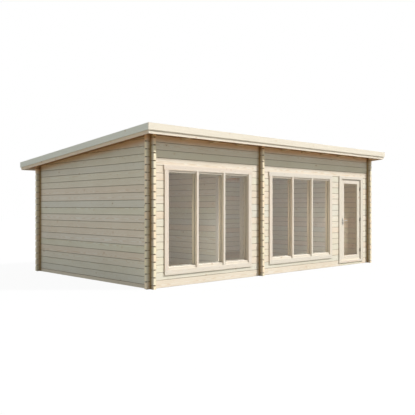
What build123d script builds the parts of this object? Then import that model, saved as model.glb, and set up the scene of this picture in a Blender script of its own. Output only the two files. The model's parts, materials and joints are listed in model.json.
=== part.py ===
"""Log cabin with a pent roof, two rooms, two fixed three-light windows and one glazed door.

Millimetres, +Z up, +X along the front wall, +Y from front to back.
The origin is on the ground under the middle of the roof's plan.
"""

import os
from build123d import *

os.makedirs("parts", exist_ok=True)

# Logs: every course is one machined log with small chamfers that meet as grooves
course = 133.0
log_thick = 58.0
groove = 6.0
end_reach = 87.0

# Plan of the walls, outer face to outer face
wall_length = 7000.0
wall_depth = 3980.0
cross_wall_middle = 2840.0

# Roof
front_top = 2639.0
rear_top = 2297.0
eave_front = 303.0
eave_rear = 346.0
eave_side = 274.0
deck_thick = 19.0
felt_thick = 3.0
fascia_thick = 20.0
fascia_height = 115.0
fascia_lift = 15.0
backing_drop = 43.0
backing_rise = 40.0
rafter_width = 45.0
rafter_depth = 110.0
tail_depth = 42.0
rafters_left = 3
rafters_right = 5
pocket_play = 1.0

# Windows: both are alike, and stand a little left of the middle of their stretch of wall
window_shift_left = 5.0
window_shift_right = 27.5
window_clear_width = 2055.0
middle_pane = 645.0
window_sill = 351.0
window_head_drop = 56.0
frame_width = 45.0
mullion_width = 50.0
window_frame_depth = 112.0
glass_thick = 6.0
glass_setback = 47.0
glass_bite = 9.0
glass_play = 0.3
sill_drop = 10.0

# Casings around the windows, the door and the passage
casing_width = 90.0
door_casing_width = 105.0
door_head_width = 70.0
casing_thick = 20.0
casing_reveal = 10.0
window_head_reveal = 34.0
head_ear = 15.0
board_play = 0.4
board_edge = 2.5
inner_casing_width = 70.0

# Door, placed from the right end of the wall
door_from_right = 412.0
door_width = 803.0
door_foot = 123.0
door_height = 1954.0
door_thick = 44.0
door_setback = 4.0
door_gap = 5.0
stile_width = 113.0
top_rail = 99.0
bottom_rail = 104.0
door_frame_depth = 100.0
door_stop = 12.0
threshold_top = 118.0

# Door furniture
handle_height = 1085.0
handle_backset = 50.0
plate_width = 38.0
plate_height = 140.0
plate_thick = 7.0
plate_rise = 48.0
lever_length = 125.0
lever_radius = 8.0
lever_stand = 42.0
spindle_radius = 5.0
turning_play = 0.05
spindle_play = 3.0
hinge_inset = 221.0
hinge_length = 80.0
knuckle_radius = 7.0
hinge_pin_radius = 3.5
hinge_leaf = 34.0
hinge_thick = 2.0
hinge_stand = 12.0
knuckle_play = 0.5

# Passage between the rooms, measured from the front wall's outer face
passage_start = 540.0
passage_width = 636.0
passage_head = 2030.0
lining_thick = 30.0

# Floor
floor_top = 100.0
floor_board = 22.0
joist_width = 45.0
joist_spacing = 580.0
floor_play = 4.0

# Places worked out from the sizes above
left_x = -wall_length / 2
right_x = wall_length / 2
front_y = -(eave_front + wall_depth + eave_rear) / 2 + eave_front
rear_y = front_y + wall_depth
front_in = front_y + log_thick
rear_in = rear_y - log_thick
cross_left = left_x + cross_wall_middle - log_thick / 2
cross_right = cross_left + log_thick
fall = (front_top - rear_top) / wall_depth
half_course = course / 2
notch = course / 4


def roof_height(y):
    """Height of the roof deck's underside at a place from front to back."""
    return front_top - fall * (y - front_y)


def span_box(x0, x1, y0, y1, z0, z1, mode=Mode.ADD):
    """A square-edged block between two corners, added to the open part."""
    with Locations(((x0 + x1) / 2, (y0 + y1) / 2, (z0 + z1) / 2)):
        return Box(x1 - x0, y1 - y0, z1 - z0, mode=mode)


def save(builder, name):
    """Label a finished piece and write it to its own file."""
    builder.part.label = name
    export_step(builder.part, f"parts/{name}.step")


def joints_between(low, high, phase):
    """Heights of the joints between logs from low to high, both included."""
    first = int((low - phase) // course) - 1
    last = int((high - phase) // course) + 2
    heights = [phase + step * course for step in range(first, last)]
    return [z for z in heights if low - 0.001 <= z <= high + 0.001]


def joint_above(height, phase):
    """Lowest joint between logs that clears a height."""
    return joints_between(height, height + course, phase)[0]


def joint_below(height, phase):
    """Highest joint between logs that stays under a height."""
    return joints_between(height - course, height, phase)[-1]


def log_outline(low, high_front, high_back, phase):
    """Section of a stack of logs: two faces with a groove at every joint."""
    front = []
    back = []
    for z in joints_between(low, max(high_front, high_back) - groove, phase):
        at_foot = abs(z - low) < 0.001
        if not at_foot:
            front.append((0, z - groove))
            back.append((log_thick, z - groove))
        front.append((groove, z))
        back.append((log_thick - groove, z))
        front.append((0, z + groove))
        back.append((log_thick, z + groove))
    if not joints_between(low, low, phase):
        front.insert(0, (0, low))
        back.insert(0, (log_thick, low))
    if joints_between(high_front, high_front, phase):
        front += [(0, high_front - groove), (groove, high_front)]
        back += [(log_thick, high_back - groove), (log_thick - groove, high_back)]
    else:
        front.append((0, high_front))
        back.append((log_thick, high_back))
    return front + back[::-1]


def long_logs(x0, x1, y_face, low, high=None):
    """Logs that run along X, in the part that is open; without high they reach the deck."""
    high_front = roof_height(y_face) if high is None else high
    high_back = roof_height(y_face + log_thick) if high is None else high
    with BuildSketch(Plane(origin=(x0, y_face, 0), x_dir=(0, 1, 0), z_dir=(1, 0, 0))) as section:
        with BuildLine():
            Polyline(log_outline(low, high_front, high_back, 0.0), close=True)
        make_face()
    extrude(section.sketch, amount=x1 - x0)


def deep_logs(y0, y1, x_face, low, high=None):
    """Logs that run along Y, in the part that is open; without high the deck cuts their top."""
    top = roof_height(y0) if high is None else high
    with BuildSketch(Plane(origin=(x_face, y0, 0), x_dir=(1, 0, 0), z_dir=(0, -1, 0))) as section:
        with BuildLine():
            Polyline(log_outline(low, top, top, half_course), close=True)
        make_face()
    extrude(section.sketch, amount=-(y1 - y0))
    if high is None:
        roof_plane = Plane(
            origin=(0, front_y, front_top), x_dir=(1, 0, 0), z_dir=(0, fall, 1)
        )
        split(bisect_by=roof_plane, keep=Keep.BOTTOM)


def cut_crossings(corners, low, high, phase):
    """Notch the logs where crossing walls' logs pass, half a log out of step.

    Each corner is the low X and low Y of a square where two walls cross.
    """
    middles = []
    for x0, y0 in corners:
        for z in joints_between(low - notch, high + notch, phase):
            middles.append((x0 + log_thick / 2, y0 + log_thick / 2, z))
    with Locations(*middles):
        Box(log_thick, log_thick, 2 * notch, mode=Mode.SUBTRACT)


def rafter_outline():
    """Side view of one rafter: full depth in the rooms, half of it on the walls and outside."""
    tail_front = front_y - eave_front + 2 * fascia_thick
    tail_rear = rear_y + eave_rear - 2 * fascia_thick
    return [
        (tail_front, roof_height(tail_front)),
        (tail_front, roof_height(tail_front) - tail_depth),
        (front_in, roof_height(front_in) - tail_depth),
        (front_in, roof_height(front_in) - rafter_depth),
        (rear_in, roof_height(rear_in) - rafter_depth),
        (rear_in, roof_height(rear_in) - tail_depth),
        (tail_rear, roof_height(tail_rear) - tail_depth),
        (tail_rear, roof_height(tail_rear)),
    ]


def rafter_places():
    """Middles of the rafters along X, evenly spaced in each room."""
    cross = left_x + cross_wall_middle
    left_step = (cross - left_x) / (rafters_left + 1)
    right_step = (right_x - cross) / (rafters_right + 1)
    places = [left_x + left_step * (count + 1) for count in range(rafters_left)]
    places += [cross + right_step * (count + 1) for count in range(rafters_right)]
    return places


def rafter_solids(width, mode=Mode.ADD):
    """All rafters, or with a wider width the pockets they sit in."""
    side_planes = [
        Plane(origin=(middle - width / 2, 0, 0), x_dir=(0, 1, 0), z_dir=(1, 0, 0))
        for middle in rafter_places()
    ]
    with BuildSketch(*side_planes) as section:
        with BuildLine():
            Polyline(rafter_outline(), close=True)
        make_face()
    extrude(section.sketch, amount=width, mode=mode)


def sloped_slab(x0, x1, y0, y1, rise0, rise1):
    """A slab or board that follows the roof, from rise0 to rise1 above the deck's underside."""
    with BuildSketch(Plane(origin=(x0, 0, 0), x_dir=(0, 1, 0), z_dir=(1, 0, 0))) as section:
        with BuildLine():
            Polyline(
                (y0, roof_height(y0) + rise0),
                (y1, roof_height(y1) + rise0),
                (y1, roof_height(y1) + rise1),
                (y0, roof_height(y0) + rise1),
                close=True,
            )
        make_face()
    extrude(section.sketch, amount=x1 - x0)


# Door opening in the front wall
leaf_x1 = right_x - door_from_right
leaf_x0 = leaf_x1 - door_width
leaf_top = door_foot + door_height
jamb_x0 = leaf_x0 - door_gap
jamb_x1 = leaf_x1 + door_gap
door_open_x0 = jamb_x0 - frame_width
door_open_x1 = jamb_x1 + frame_width
door_open_foot = half_course
frame_head = leaf_top + door_gap
casing_x0 = jamb_x0 - casing_reveal
casing_x1 = jamb_x1 + casing_reveal

# Window openings, one in each room, with their heads in line with the door
window_middles = {
    "left": (left_x + log_thick + cross_left) / 2 - window_shift_left,
    "right": (cross_right + casing_x0 - door_casing_width) / 2 - window_shift_right,
}
window_frame_x = {}
for side, middle in window_middles.items():
    reach = window_clear_width / 2 + frame_width
    window_frame_x[side] = (middle - reach, middle + reach)
window_head = leaf_top - window_head_drop
window_frame_top = window_head + frame_width

# Openings start and end at joints between logs
window_foot = joint_below(window_sill - frame_width, 0.0)
opening_top = joint_above(max(window_frame_top, frame_head + frame_width), 0.0)
passage_open_top = joint_above(passage_head + lining_thick, half_course)
wall_end_left = left_x - end_reach
wall_end_right = right_x + end_reach

# Squares where walls cross, low X and low Y
front_left_corner = (left_x, front_y)
front_cross_corner = (cross_left, front_y)
front_right_corner = (right_x - log_thick, front_y)
rear_left_corner = (left_x, rear_in)
rear_cross_corner = (cross_left, rear_in)
rear_right_corner = (right_x - log_thick, rear_in)

# Front wall, split beside and over its openings
with BuildPart() as front_base_logs:
    long_logs(wall_end_left, door_open_x0, front_y, 0.0, window_foot)
    cut_crossings([front_left_corner, front_cross_corner], 0.0, window_foot, 0.0)
save(front_base_logs, "front_base_logs")

with BuildPart() as front_step_log:
    long_logs(door_open_x0, door_open_x1, front_y, 0.0, door_open_foot)
save(front_step_log, "front_step_log")

with BuildPart() as front_pier_left:
    long_logs(wall_end_left, window_frame_x["left"][0], front_y, window_foot, opening_top)
    cut_crossings([front_left_corner], window_foot, opening_top, 0.0)
save(front_pier_left, "front_pier_left")

with BuildPart() as front_pier_middle:
    long_logs(
        window_frame_x["left"][1], window_frame_x["right"][0], front_y, window_foot, opening_top
    )
    cut_crossings([front_cross_corner], window_foot, opening_top, 0.0)
save(front_pier_middle, "front_pier_middle")

with BuildPart() as front_pier_door:
    long_logs(window_frame_x["right"][1], door_open_x0, front_y, window_foot, opening_top)
save(front_pier_door, "front_pier_door")

with BuildPart() as front_pier_right:
    long_logs(door_open_x1, wall_end_right, front_y, 0.0, opening_top)
    cut_crossings([front_right_corner], 0.0, opening_top, 0.0)
save(front_pier_right, "front_pier_right")

with BuildPart() as front_header:
    long_logs(wall_end_left, wall_end_right, front_y, opening_top)
    cut_crossings(
        [front_left_corner, front_cross_corner, front_right_corner], opening_top, front_top, 0.0
    )
    rafter_solids(rafter_width + 2 * pocket_play, mode=Mode.SUBTRACT)
save(front_header, "front_header")

# Back wall
with BuildPart() as back_wall:
    long_logs(wall_end_left, wall_end_right, rear_in, 0.0)
    cut_crossings([rear_left_corner, rear_cross_corner, rear_right_corner], 0.0, rear_top, 0.0)
    rafter_solids(rafter_width + 2 * pocket_play, mode=Mode.SUBTRACT)
save(back_wall, "back_wall")

# Side walls
wall_end_front = front_y - end_reach
wall_end_rear = rear_y + end_reach
side_corners = {
    "left_wall": (front_left_corner, rear_left_corner),
    "right_wall": (front_right_corner, rear_right_corner),
}
for name, (front_corner, rear_corner) in side_corners.items():
    with BuildPart() as side_wall:
        deep_logs(wall_end_front, wall_end_rear, front_corner[0], 0.0)
        cut_crossings([front_corner, rear_corner], 0.0, front_top, half_course)
    save(side_wall, name)

# Cross wall between the rooms, split beside and over the passage
passage_y0 = front_y + passage_start
passage_y1 = passage_y0 + passage_width
passage_open_y0 = passage_y0 - lining_thick
passage_open_y1 = passage_y1 + lining_thick
passage_clear_top = passage_open_top - lining_thick

with BuildPart() as cross_wall_front:
    deep_logs(wall_end_front, passage_open_y0, cross_left, 0.0, passage_open_top)
    cut_crossings([front_cross_corner], 0.0, passage_open_top, half_course)
save(cross_wall_front, "cross_wall_front")

with BuildPart() as cross_wall_rear:
    deep_logs(passage_open_y1, wall_end_rear, cross_left, 0.0, passage_open_top)
    cut_crossings([rear_cross_corner], 0.0, passage_open_top, half_course)
save(cross_wall_rear, "cross_wall_rear")

with BuildPart() as cross_wall_step:
    deep_logs(passage_open_y0, passage_open_y1, cross_left, 0.0, half_course)
save(cross_wall_step, "cross_wall_step")

with BuildPart() as cross_wall_header:
    deep_logs(wall_end_front, wall_end_rear, cross_left, passage_open_top)
    cut_crossings(
        [front_cross_corner, rear_cross_corner], passage_open_top, front_top, half_course
    )
save(cross_wall_header, "cross_wall_header")

# Roof
deck_x0 = left_x - eave_side + 2 * fascia_thick
deck_x1 = right_x + eave_side - 2 * fascia_thick
deck_y0 = front_y - eave_front + 2 * fascia_thick
deck_y1 = rear_y + eave_rear - 2 * fascia_thick
roof_x0 = left_x - eave_side
roof_x1 = right_x + eave_side
roof_y0 = front_y - eave_front
roof_y1 = rear_y + eave_rear

with BuildPart() as rafters:
    rafter_solids(rafter_width)
save(rafters, "rafters")

with BuildPart() as roof_deck:
    sloped_slab(deck_x0, deck_x1, deck_y0, deck_y1, 0.0, deck_thick)
save(roof_deck, "roof_deck")

with BuildPart() as roof_felt:
    sloped_slab(deck_x0, deck_x1, deck_y0, deck_y1, deck_thick, deck_thick + felt_thick)
save(roof_felt, "roof_felt")

# Fascias: a backing board round the deck, and a taller board outside it
front_deck_height = roof_height(deck_y0)
rear_deck_height = roof_height(deck_y1)
fascia_front_foot = roof_height(roof_y0) + fascia_lift
backing_x0 = deck_x0 - fascia_thick
backing_x1 = deck_x1 + fascia_thick


def side_fascia(x0, x1):
    """The outer board along one side of the roof, from the front fascia to the rear."""
    fascia_top = fascia_lift + fascia_height
    sloped_slab(x0, x1, roof_y0 + fascia_thick, roof_y1, fascia_lift, fascia_top)


with BuildPart() as backing_front:
    span_box(
        backing_x0,
        backing_x1,
        deck_y0 - fascia_thick,
        deck_y0,
        front_deck_height - backing_drop,
        front_deck_height + backing_rise,
    )
save(backing_front, "backing_front")

with BuildPart() as backing_rear:
    span_box(
        backing_x0,
        backing_x1,
        deck_y1,
        deck_y1 + fascia_thick,
        rear_deck_height - backing_drop,
        rear_deck_height + deck_thick,
    )
save(backing_rear, "backing_rear")

with BuildPart() as backing_sides:
    sloped_slab(backing_x0, deck_x0, deck_y0, deck_y1, -backing_drop, backing_rise)
    sloped_slab(deck_x1, backing_x1, deck_y0, deck_y1, -backing_drop, backing_rise)
save(backing_sides, "backing_sides")

with BuildPart() as fascia_front:
    span_box(
        roof_x0,
        roof_x1,
        roof_y0,
        roof_y0 + fascia_thick,
        fascia_front_foot,
        fascia_front_foot + fascia_height,
    )
save(fascia_front, "fascia_front")

with BuildPart() as fascia_left:
    side_fascia(roof_x0, backing_x0)
save(fascia_left, "fascia_left")

with BuildPart() as fascia_right:
    side_fascia(backing_x1, roof_x1)
save(fascia_right, "fascia_right")

with BuildPart() as fascia_rear:
    span_box(
        backing_x0,
        backing_x1,
        roof_y1 - fascia_thick,
        roof_y1,
        rear_deck_height - backing_drop / 2,
        rear_deck_height + deck_thick,
    )
save(fascia_rear, "fascia_rear")

# Floor: boards on joists in each room
floor_rooms = (
    (left_x + log_thick + floor_play, cross_left - floor_play),
    (cross_right + floor_play, right_x - log_thick - floor_play),
)
floor_y0 = front_in + floor_play
floor_y1 = rear_in - floor_play

with BuildPart() as floor_boards:
    for room_x0, room_x1 in floor_rooms:
        span_box(room_x0, room_x1, floor_y0, floor_y1, floor_top - floor_board, floor_top)
save(floor_boards, "floor_boards")

with BuildPart() as floor_joists:
    for room_x0, room_x1 in floor_rooms:
        bays = round((room_x1 - room_x0 - joist_width) / joist_spacing)
        step = (room_x1 - room_x0 - joist_width) / bays
        middles = [
            (
                room_x0 + joist_width / 2 + step * count,
                (floor_y0 + floor_y1) / 2,
                (floor_top - floor_board) / 2,
            )
            for count in range(bays + 1)
        ]
        with Locations(*middles):
            Box(joist_width, floor_y1 - floor_y0, floor_top - floor_board)
save(floor_joists, "floor_joists")


def soften(face_axis):
    """Ease the long edges of the boards on their outer face."""
    chamfer(edges().group_by(face_axis)[0], length=board_edge)


def slope_sill(spans, face_y, glass_y):
    """Slope the frame's foot outwards in front of each pane, so that rain runs off."""
    for x0, x1 in spans:
        with BuildSketch(Plane(origin=(x0, 0, 0), x_dir=(0, 1, 0), z_dir=(1, 0, 0))) as wedge:
            with BuildLine():
                Polyline(
                    (face_y, window_sill),
                    (glass_y, window_sill),
                    (face_y, window_sill - sill_drop),
                    close=True,
                )
            make_face()
        extrude(wedge.sketch, amount=x1 - x0, mode=Mode.SUBTRACT)


def window_pieces(side):
    """Frame, glass and casings of one window with three fixed panes.

    The mullions have covers in front that stand level with the casings.
    """
    x0, x1 = window_frame_x[side]
    clear_x0 = x0 + frame_width
    clear_x1 = x1 - frame_width
    side_pane = (window_clear_width - middle_pane - 2 * mullion_width) / 2
    pane_spans = [
        (clear_x0, clear_x0 + side_pane),
        (clear_x0 + side_pane + mullion_width, clear_x1 - side_pane - mullion_width),
        (clear_x1 - side_pane, clear_x1),
    ]
    y0 = front_y
    y1 = front_y + window_frame_depth
    glass_y0 = y0 + glass_setback
    glass_y1 = glass_y0 + glass_thick
    bite = glass_bite + glass_play
    casing_y0 = front_y - casing_thick
    head_z0 = window_head + window_head_reveal
    foot_z1 = window_sill - frame_width - casing_reveal / 2

    with BuildPart() as window_frame:
        span_box(x0, x1, y0, y1, window_foot, window_frame_top)
        for pane_x0, pane_x1 in pane_spans:
            span_box(pane_x0, pane_x1, y0, y1, window_sill, window_head, mode=Mode.SUBTRACT)
            span_box(
                pane_x0 - bite,
                pane_x1 + bite,
                glass_y0 - glass_play,
                glass_y1 + glass_play,
                window_sill - bite,
                window_head + bite,
                mode=Mode.SUBTRACT,
            )
        slope_sill(pane_spans, y0, glass_y0)
        for (_, cover_x0), (cover_x1, _) in zip(pane_spans, pane_spans[1:]):
            span_box(
                cover_x0, cover_x1, casing_y0, y0, foot_z1 + board_play, head_z0 - board_play
            )
        soften(Axis.Y)
    save(window_frame, f"window_frame_{side}")

    with BuildPart() as window_glass:
        for pane_x0, pane_x1 in pane_spans:
            span_box(
                pane_x0 - glass_bite,
                pane_x1 + glass_bite,
                glass_y0,
                glass_y1,
                window_sill - glass_bite,
                window_head + glass_bite,
            )
    save(window_glass, f"window_glass_{side}")

    inner_x0 = clear_x0 - casing_reveal
    inner_x1 = clear_x1 + casing_reveal
    with BuildPart() as window_casing:
        for board_x0, board_x1 in (
            (inner_x0 - casing_width, inner_x0),
            (inner_x1, inner_x1 + casing_width),
        ):
            span_box(
                board_x0,
                board_x1,
                casing_y0,
                front_y,
                foot_z1 + board_play,
                head_z0 - board_play,
            )
        span_box(
            inner_x0 - casing_width - head_ear,
            inner_x1 + casing_width + head_ear,
            casing_y0,
            front_y,
            head_z0,
            head_z0 + casing_width,
        )
        span_box(
            inner_x0 - casing_width,
            inner_x1 + casing_width,
            casing_y0,
            front_y,
            foot_z1 - casing_width,
            foot_z1,
        )
        soften(Axis.Y)
    save(window_casing, f"window_casing_{side}")


for window_side in window_middles:
    window_pieces(window_side)

# Casings round the windows on the inner face of the wall
inner_y1 = front_in + casing_thick
with BuildPart() as inner_casings:
    for x0, x1 in window_frame_x.values():
        for board_x0, board_x1 in ((x0 - inner_casing_width, x0), (x1, x1 + inner_casing_width)):
            span_box(
                board_x0,
                board_x1,
                front_in,
                inner_y1,
                window_foot + board_play,
                window_frame_top - board_play,
            )
        for board_z0, board_z1 in (
            (window_foot - inner_casing_width, window_foot),
            (window_frame_top, window_frame_top + inner_casing_width),
        ):
            span_box(
                x0 - inner_casing_width,
                x1 + inner_casing_width,
                front_in,
                inner_y1,
                board_z0,
                board_z1,
            )
save(inner_casings, "inner_casings")

# Door frame: jambs and head with a stop behind the leaf
frame_y1 = front_y + door_frame_depth
leaf_y0 = front_y + door_setback
leaf_y1 = leaf_y0 + door_thick
stop_y0 = leaf_y1 + door_gap

with BuildPart() as door_frame:
    span_box(door_open_x0, door_open_x1, front_y, frame_y1, threshold_top, frame_head + frame_width)
    span_box(jamb_x0, jamb_x1, front_y, stop_y0, threshold_top, frame_head, mode=Mode.SUBTRACT)
    span_box(
        jamb_x0 + door_stop,
        jamb_x1 - door_stop,
        stop_y0,
        frame_y1,
        threshold_top,
        frame_head - door_stop,
        mode=Mode.SUBTRACT,
    )
save(door_frame, "door_frame")

casing_y0 = front_y - casing_thick
with BuildPart() as door_threshold:
    span_box(door_open_x0, door_open_x1, front_y, front_in, door_open_foot, threshold_top)
    span_box(door_open_x0, door_open_x1, front_in, frame_y1, floor_top, threshold_top)
    span_box(casing_x0, casing_x1, casing_y0, front_y, door_open_foot, threshold_top)
save(door_threshold, "door_threshold")

with BuildPart() as door_casing:
    for board_x0, board_x1 in (
        (casing_x0 - door_casing_width, casing_x0 - board_play),
        (casing_x1 + board_play, casing_x1 + door_casing_width),
    ):
        span_box(board_x0, board_x1, casing_y0, front_y, door_open_foot, frame_head - board_play)
    span_box(
        casing_x0 - door_casing_width,
        casing_x1 + door_casing_width,
        casing_y0,
        front_y,
        frame_head,
        frame_head + door_head_width,
    )
    soften(Axis.Y)
save(door_casing, "door_casing")

with BuildPart() as door_inner_casing:
    for board_x0, board_x1 in (
        (door_open_x0 - inner_casing_width, door_open_x0),
        (door_open_x1, door_open_x1 + inner_casing_width),
    ):
        span_box(
            board_x0,
            board_x1,
            front_in,
            front_in + casing_thick,
            floor_top,
            frame_head + frame_width - board_play,
        )
    span_box(
        door_open_x0 - inner_casing_width,
        door_open_x1 + inner_casing_width,
        front_in,
        front_in + casing_thick,
        frame_head + frame_width,
        frame_head + frame_width + inner_casing_width,
    )
save(door_inner_casing, "door_inner_casing")

# Passage lining and casings
with BuildPart() as passage_lining:
    span_box(
        cross_left, cross_right, passage_open_y0, passage_open_y1, half_course, passage_open_top
    )
    span_box(
        cross_left,
        cross_right,
        passage_y0,
        passage_y1,
        threshold_top,
        passage_clear_top,
        mode=Mode.SUBTRACT,
    )
save(passage_lining, "passage_lining")

with BuildPart() as passage_casings:
    for face_x0 in (cross_left - casing_thick, cross_right):
        for board_y0, board_y1 in (
            (passage_y0 - casing_width, passage_y0),
            (passage_y1, passage_y1 + casing_width),
        ):
            span_box(
                face_x0,
                face_x0 + casing_thick,
                board_y0,
                board_y1,
                floor_top,
                passage_clear_top - board_play,
            )
        span_box(
            face_x0,
            face_x0 + casing_thick,
            passage_y0 - casing_width,
            passage_y1 + casing_width,
            passage_clear_top,
            passage_clear_top + casing_width,
        )
save(passage_casings, "passage_casings")

# Door leaf
glass_x0 = leaf_x0 + stile_width
glass_x1 = leaf_x1 - stile_width
glass_z0 = door_foot + bottom_rail
glass_z1 = leaf_top - top_rail
glass_y0 = (leaf_y0 + leaf_y1 - glass_thick) / 2
glass_y1 = glass_y0 + glass_thick
spindle_x = leaf_x0 + handle_backset
bite = glass_bite + glass_play

with BuildPart() as door_leaf:
    span_box(leaf_x0, leaf_x1, leaf_y0, leaf_y1, door_foot, leaf_top)
    span_box(glass_x0, glass_x1, leaf_y0, leaf_y1, glass_z0, glass_z1, mode=Mode.SUBTRACT)
    span_box(
        glass_x0 - bite,
        glass_x1 + bite,
        glass_y0 - glass_play,
        glass_y1 + glass_play,
        glass_z0 - bite,
        glass_z1 + bite,
        mode=Mode.SUBTRACT,
    )
    with Locations(Plane(origin=(spindle_x, leaf_y0, handle_height), z_dir=(0, -1, 0))):
        Hole(radius=spindle_radius + spindle_play)
save(door_leaf, "door_leaf")

with BuildPart() as door_glass:
    span_box(
        glass_x0 - glass_bite,
        glass_x1 + glass_bite,
        glass_y0,
        glass_y1,
        glass_z0 - glass_bite,
        glass_z1 + glass_bite,
    )
save(door_glass, "door_glass")

# Handle plates on both faces of the leaf
plate_foot = handle_height - plate_height + plate_rise
with BuildPart() as handle_plates:
    for plate_y0 in (leaf_y0 - plate_thick, leaf_y1):
        span_box(
            spindle_x - plate_width / 2,
            spindle_x + plate_width / 2,
            plate_y0,
            plate_y0 + plate_thick,
            plate_foot,
            plate_foot + plate_height,
        )
    fillet(edges().filter_by(Axis.Y), radius=plate_width / 4)
    with Locations(Plane(origin=(spindle_x, leaf_y1, handle_height), z_dir=(0, 1, 0))):
        Hole(radius=lever_radius + turning_play)
save(handle_plates, "handle_plates")

# Lever handles on one spindle through the leaf, each a round bar with a mitred corner
lever_tip = spindle_x + lever_length + lever_radius
with BuildPart() as door_lever:
    for leaf_face, way in ((leaf_y0, -1), (leaf_y1, 1)):
        grip_y = leaf_face + way * (plate_thick + lever_stand)
        with BuildLine() as corner_line:
            Polyline(
                (spindle_x, leaf_face, handle_height),
                (spindle_x, grip_y, handle_height),
                (lever_tip, grip_y, handle_height),
            )
        with BuildSketch(Plane(origin=(spindle_x, leaf_face, handle_height), z_dir=(0, way, 0))):
            Circle(lever_radius)
        sweep(path=corner_line.line, transition=Transition.RIGHT)
    with BuildSketch(Plane(origin=(spindle_x, leaf_y0, handle_height), z_dir=(0, 1, 0))):
        Circle(spindle_radius)
    extrude(amount=door_thick)
save(door_lever, "door_lever")

# Hinges at the leaf's right edge: lower knuckles with pins on the frame, upper ones on the leaf
hinge_x = (leaf_x1 + jamb_x1) / 2
hinge_y = leaf_y0 - hinge_stand
hinge_half = hinge_length / 2
hinge_low = door_foot + hinge_inset
hinge_high = leaf_top - hinge_inset
hinge_heights = (hinge_low, (hinge_low + hinge_high) / 2, hinge_high)


def hinge_side(edge_x0, edge_x1, knuckle_low, knuckle_high, middle):
    """Leaf of one hinge half, with the strap that joins it to its knuckle."""
    strap_y1 = leaf_y0 + hinge_leaf
    clear_y = hinge_y + knuckle_radius + knuckle_play
    span_box(edge_x0, edge_x1, clear_y, strap_y1, middle - hinge_half, middle + hinge_half)
    span_box(edge_x0, edge_x1, hinge_y, clear_y, knuckle_low, knuckle_high)
    with BuildSketch(Plane.XY.offset(knuckle_low)) as ring:
        with Locations((hinge_x, hinge_y)):
            Circle(knuckle_radius)
    extrude(ring.sketch, amount=knuckle_high - knuckle_low)


with BuildPart() as hinge_knuckles:
    for middle in hinge_heights:
        hinge_side(
            jamb_x1 - hinge_thick, jamb_x1, middle - hinge_half, middle - knuckle_play, middle
        )
        with BuildSketch(Plane.XY.offset(middle - hinge_half)) as pin:
            with Locations((hinge_x, hinge_y)):
                Circle(hinge_pin_radius)
        extrude(pin.sketch, amount=hinge_length)
save(hinge_knuckles, "hinge_knuckles")

with BuildPart() as hinge_leaves:
    for middle in hinge_heights:
        hinge_side(
            leaf_x1, leaf_x1 + hinge_thick, middle + knuckle_play, middle + hinge_half, middle
        )
    for middle in hinge_heights:
        with BuildSketch(Plane.XY.offset(middle)) as bore:
            with Locations((hinge_x, hinge_y)):
                Circle(hinge_pin_radius + turning_play)
        extrude(bore.sketch, amount=hinge_length, mode=Mode.SUBTRACT)
save(hinge_leaves, "hinge_leaves")
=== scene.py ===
"""Looks of a log cabin with a pent roof, dressed round its packed construction.

Metres, +Z up, +X along the front wall, +Y from front to back, as in the construction.
"""

import functools
import json
import logging
import math
from dataclasses import dataclass, field
from enum import Enum

import bpy
import numpy as np
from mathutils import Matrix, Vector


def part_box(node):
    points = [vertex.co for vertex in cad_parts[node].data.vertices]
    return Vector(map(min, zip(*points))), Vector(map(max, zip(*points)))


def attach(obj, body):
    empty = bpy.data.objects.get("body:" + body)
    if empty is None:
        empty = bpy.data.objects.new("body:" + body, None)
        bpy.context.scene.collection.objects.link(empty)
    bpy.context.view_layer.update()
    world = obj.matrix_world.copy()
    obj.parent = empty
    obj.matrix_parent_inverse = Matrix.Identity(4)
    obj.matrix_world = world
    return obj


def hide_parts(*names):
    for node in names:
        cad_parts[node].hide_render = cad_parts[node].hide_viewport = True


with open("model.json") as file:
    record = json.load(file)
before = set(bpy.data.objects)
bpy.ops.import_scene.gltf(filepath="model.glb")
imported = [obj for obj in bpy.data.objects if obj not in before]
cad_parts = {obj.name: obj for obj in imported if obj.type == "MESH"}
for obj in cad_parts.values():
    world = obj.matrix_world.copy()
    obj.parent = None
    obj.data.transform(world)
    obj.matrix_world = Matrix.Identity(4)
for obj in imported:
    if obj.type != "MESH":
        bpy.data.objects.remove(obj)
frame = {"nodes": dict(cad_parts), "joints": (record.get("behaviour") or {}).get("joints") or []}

Colour = tuple[float, float, float, float]
Triple = tuple[float, float, float]
Pair = tuple[float, float]
Profile = tuple[Pair, ...]
Axes = tuple[int, ...]
Rides = tuple[str, str]
Numbers = np.ndarray
Material = bpy.types.Material
Node = bpy.types.Node
Socket = bpy.types.NodeSocket

GRAIN, TINT, MARKS = "grain", "tint", "marks"
HAIRLINE = 0.0004
SEEN = ("Camera", "Glossy", "Transmission")

log = logging.getLogger("cabin")


def srgb(red: int, green: int, blue: int) -> Colour:
    """Turn a colour as it is seen, 0 to 255, into the linear values that a shader takes.

    Args:
        red: Red as seen.
        green: Green as seen.
        blue: Blue as seen.

    Returns:
        Linear red, green, blue and a full alpha.
    """
    seen = np.array((red, green, blue)) / 255
    linear = np.where(seen <= 0.04045, seen / 12.92, ((seen + 0.055) / 1.055) ** 2.4)
    return (*linear.tolist(), 1.0)


class Run(Enum):
    """Which way the grain runs: the axes along it, across the face and through the timber."""

    LENGTHWISE = (0, 2, 1)
    DEPTHWISE = (1, 2, 0)
    UPRIGHT = (2, 0, 1)


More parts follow.
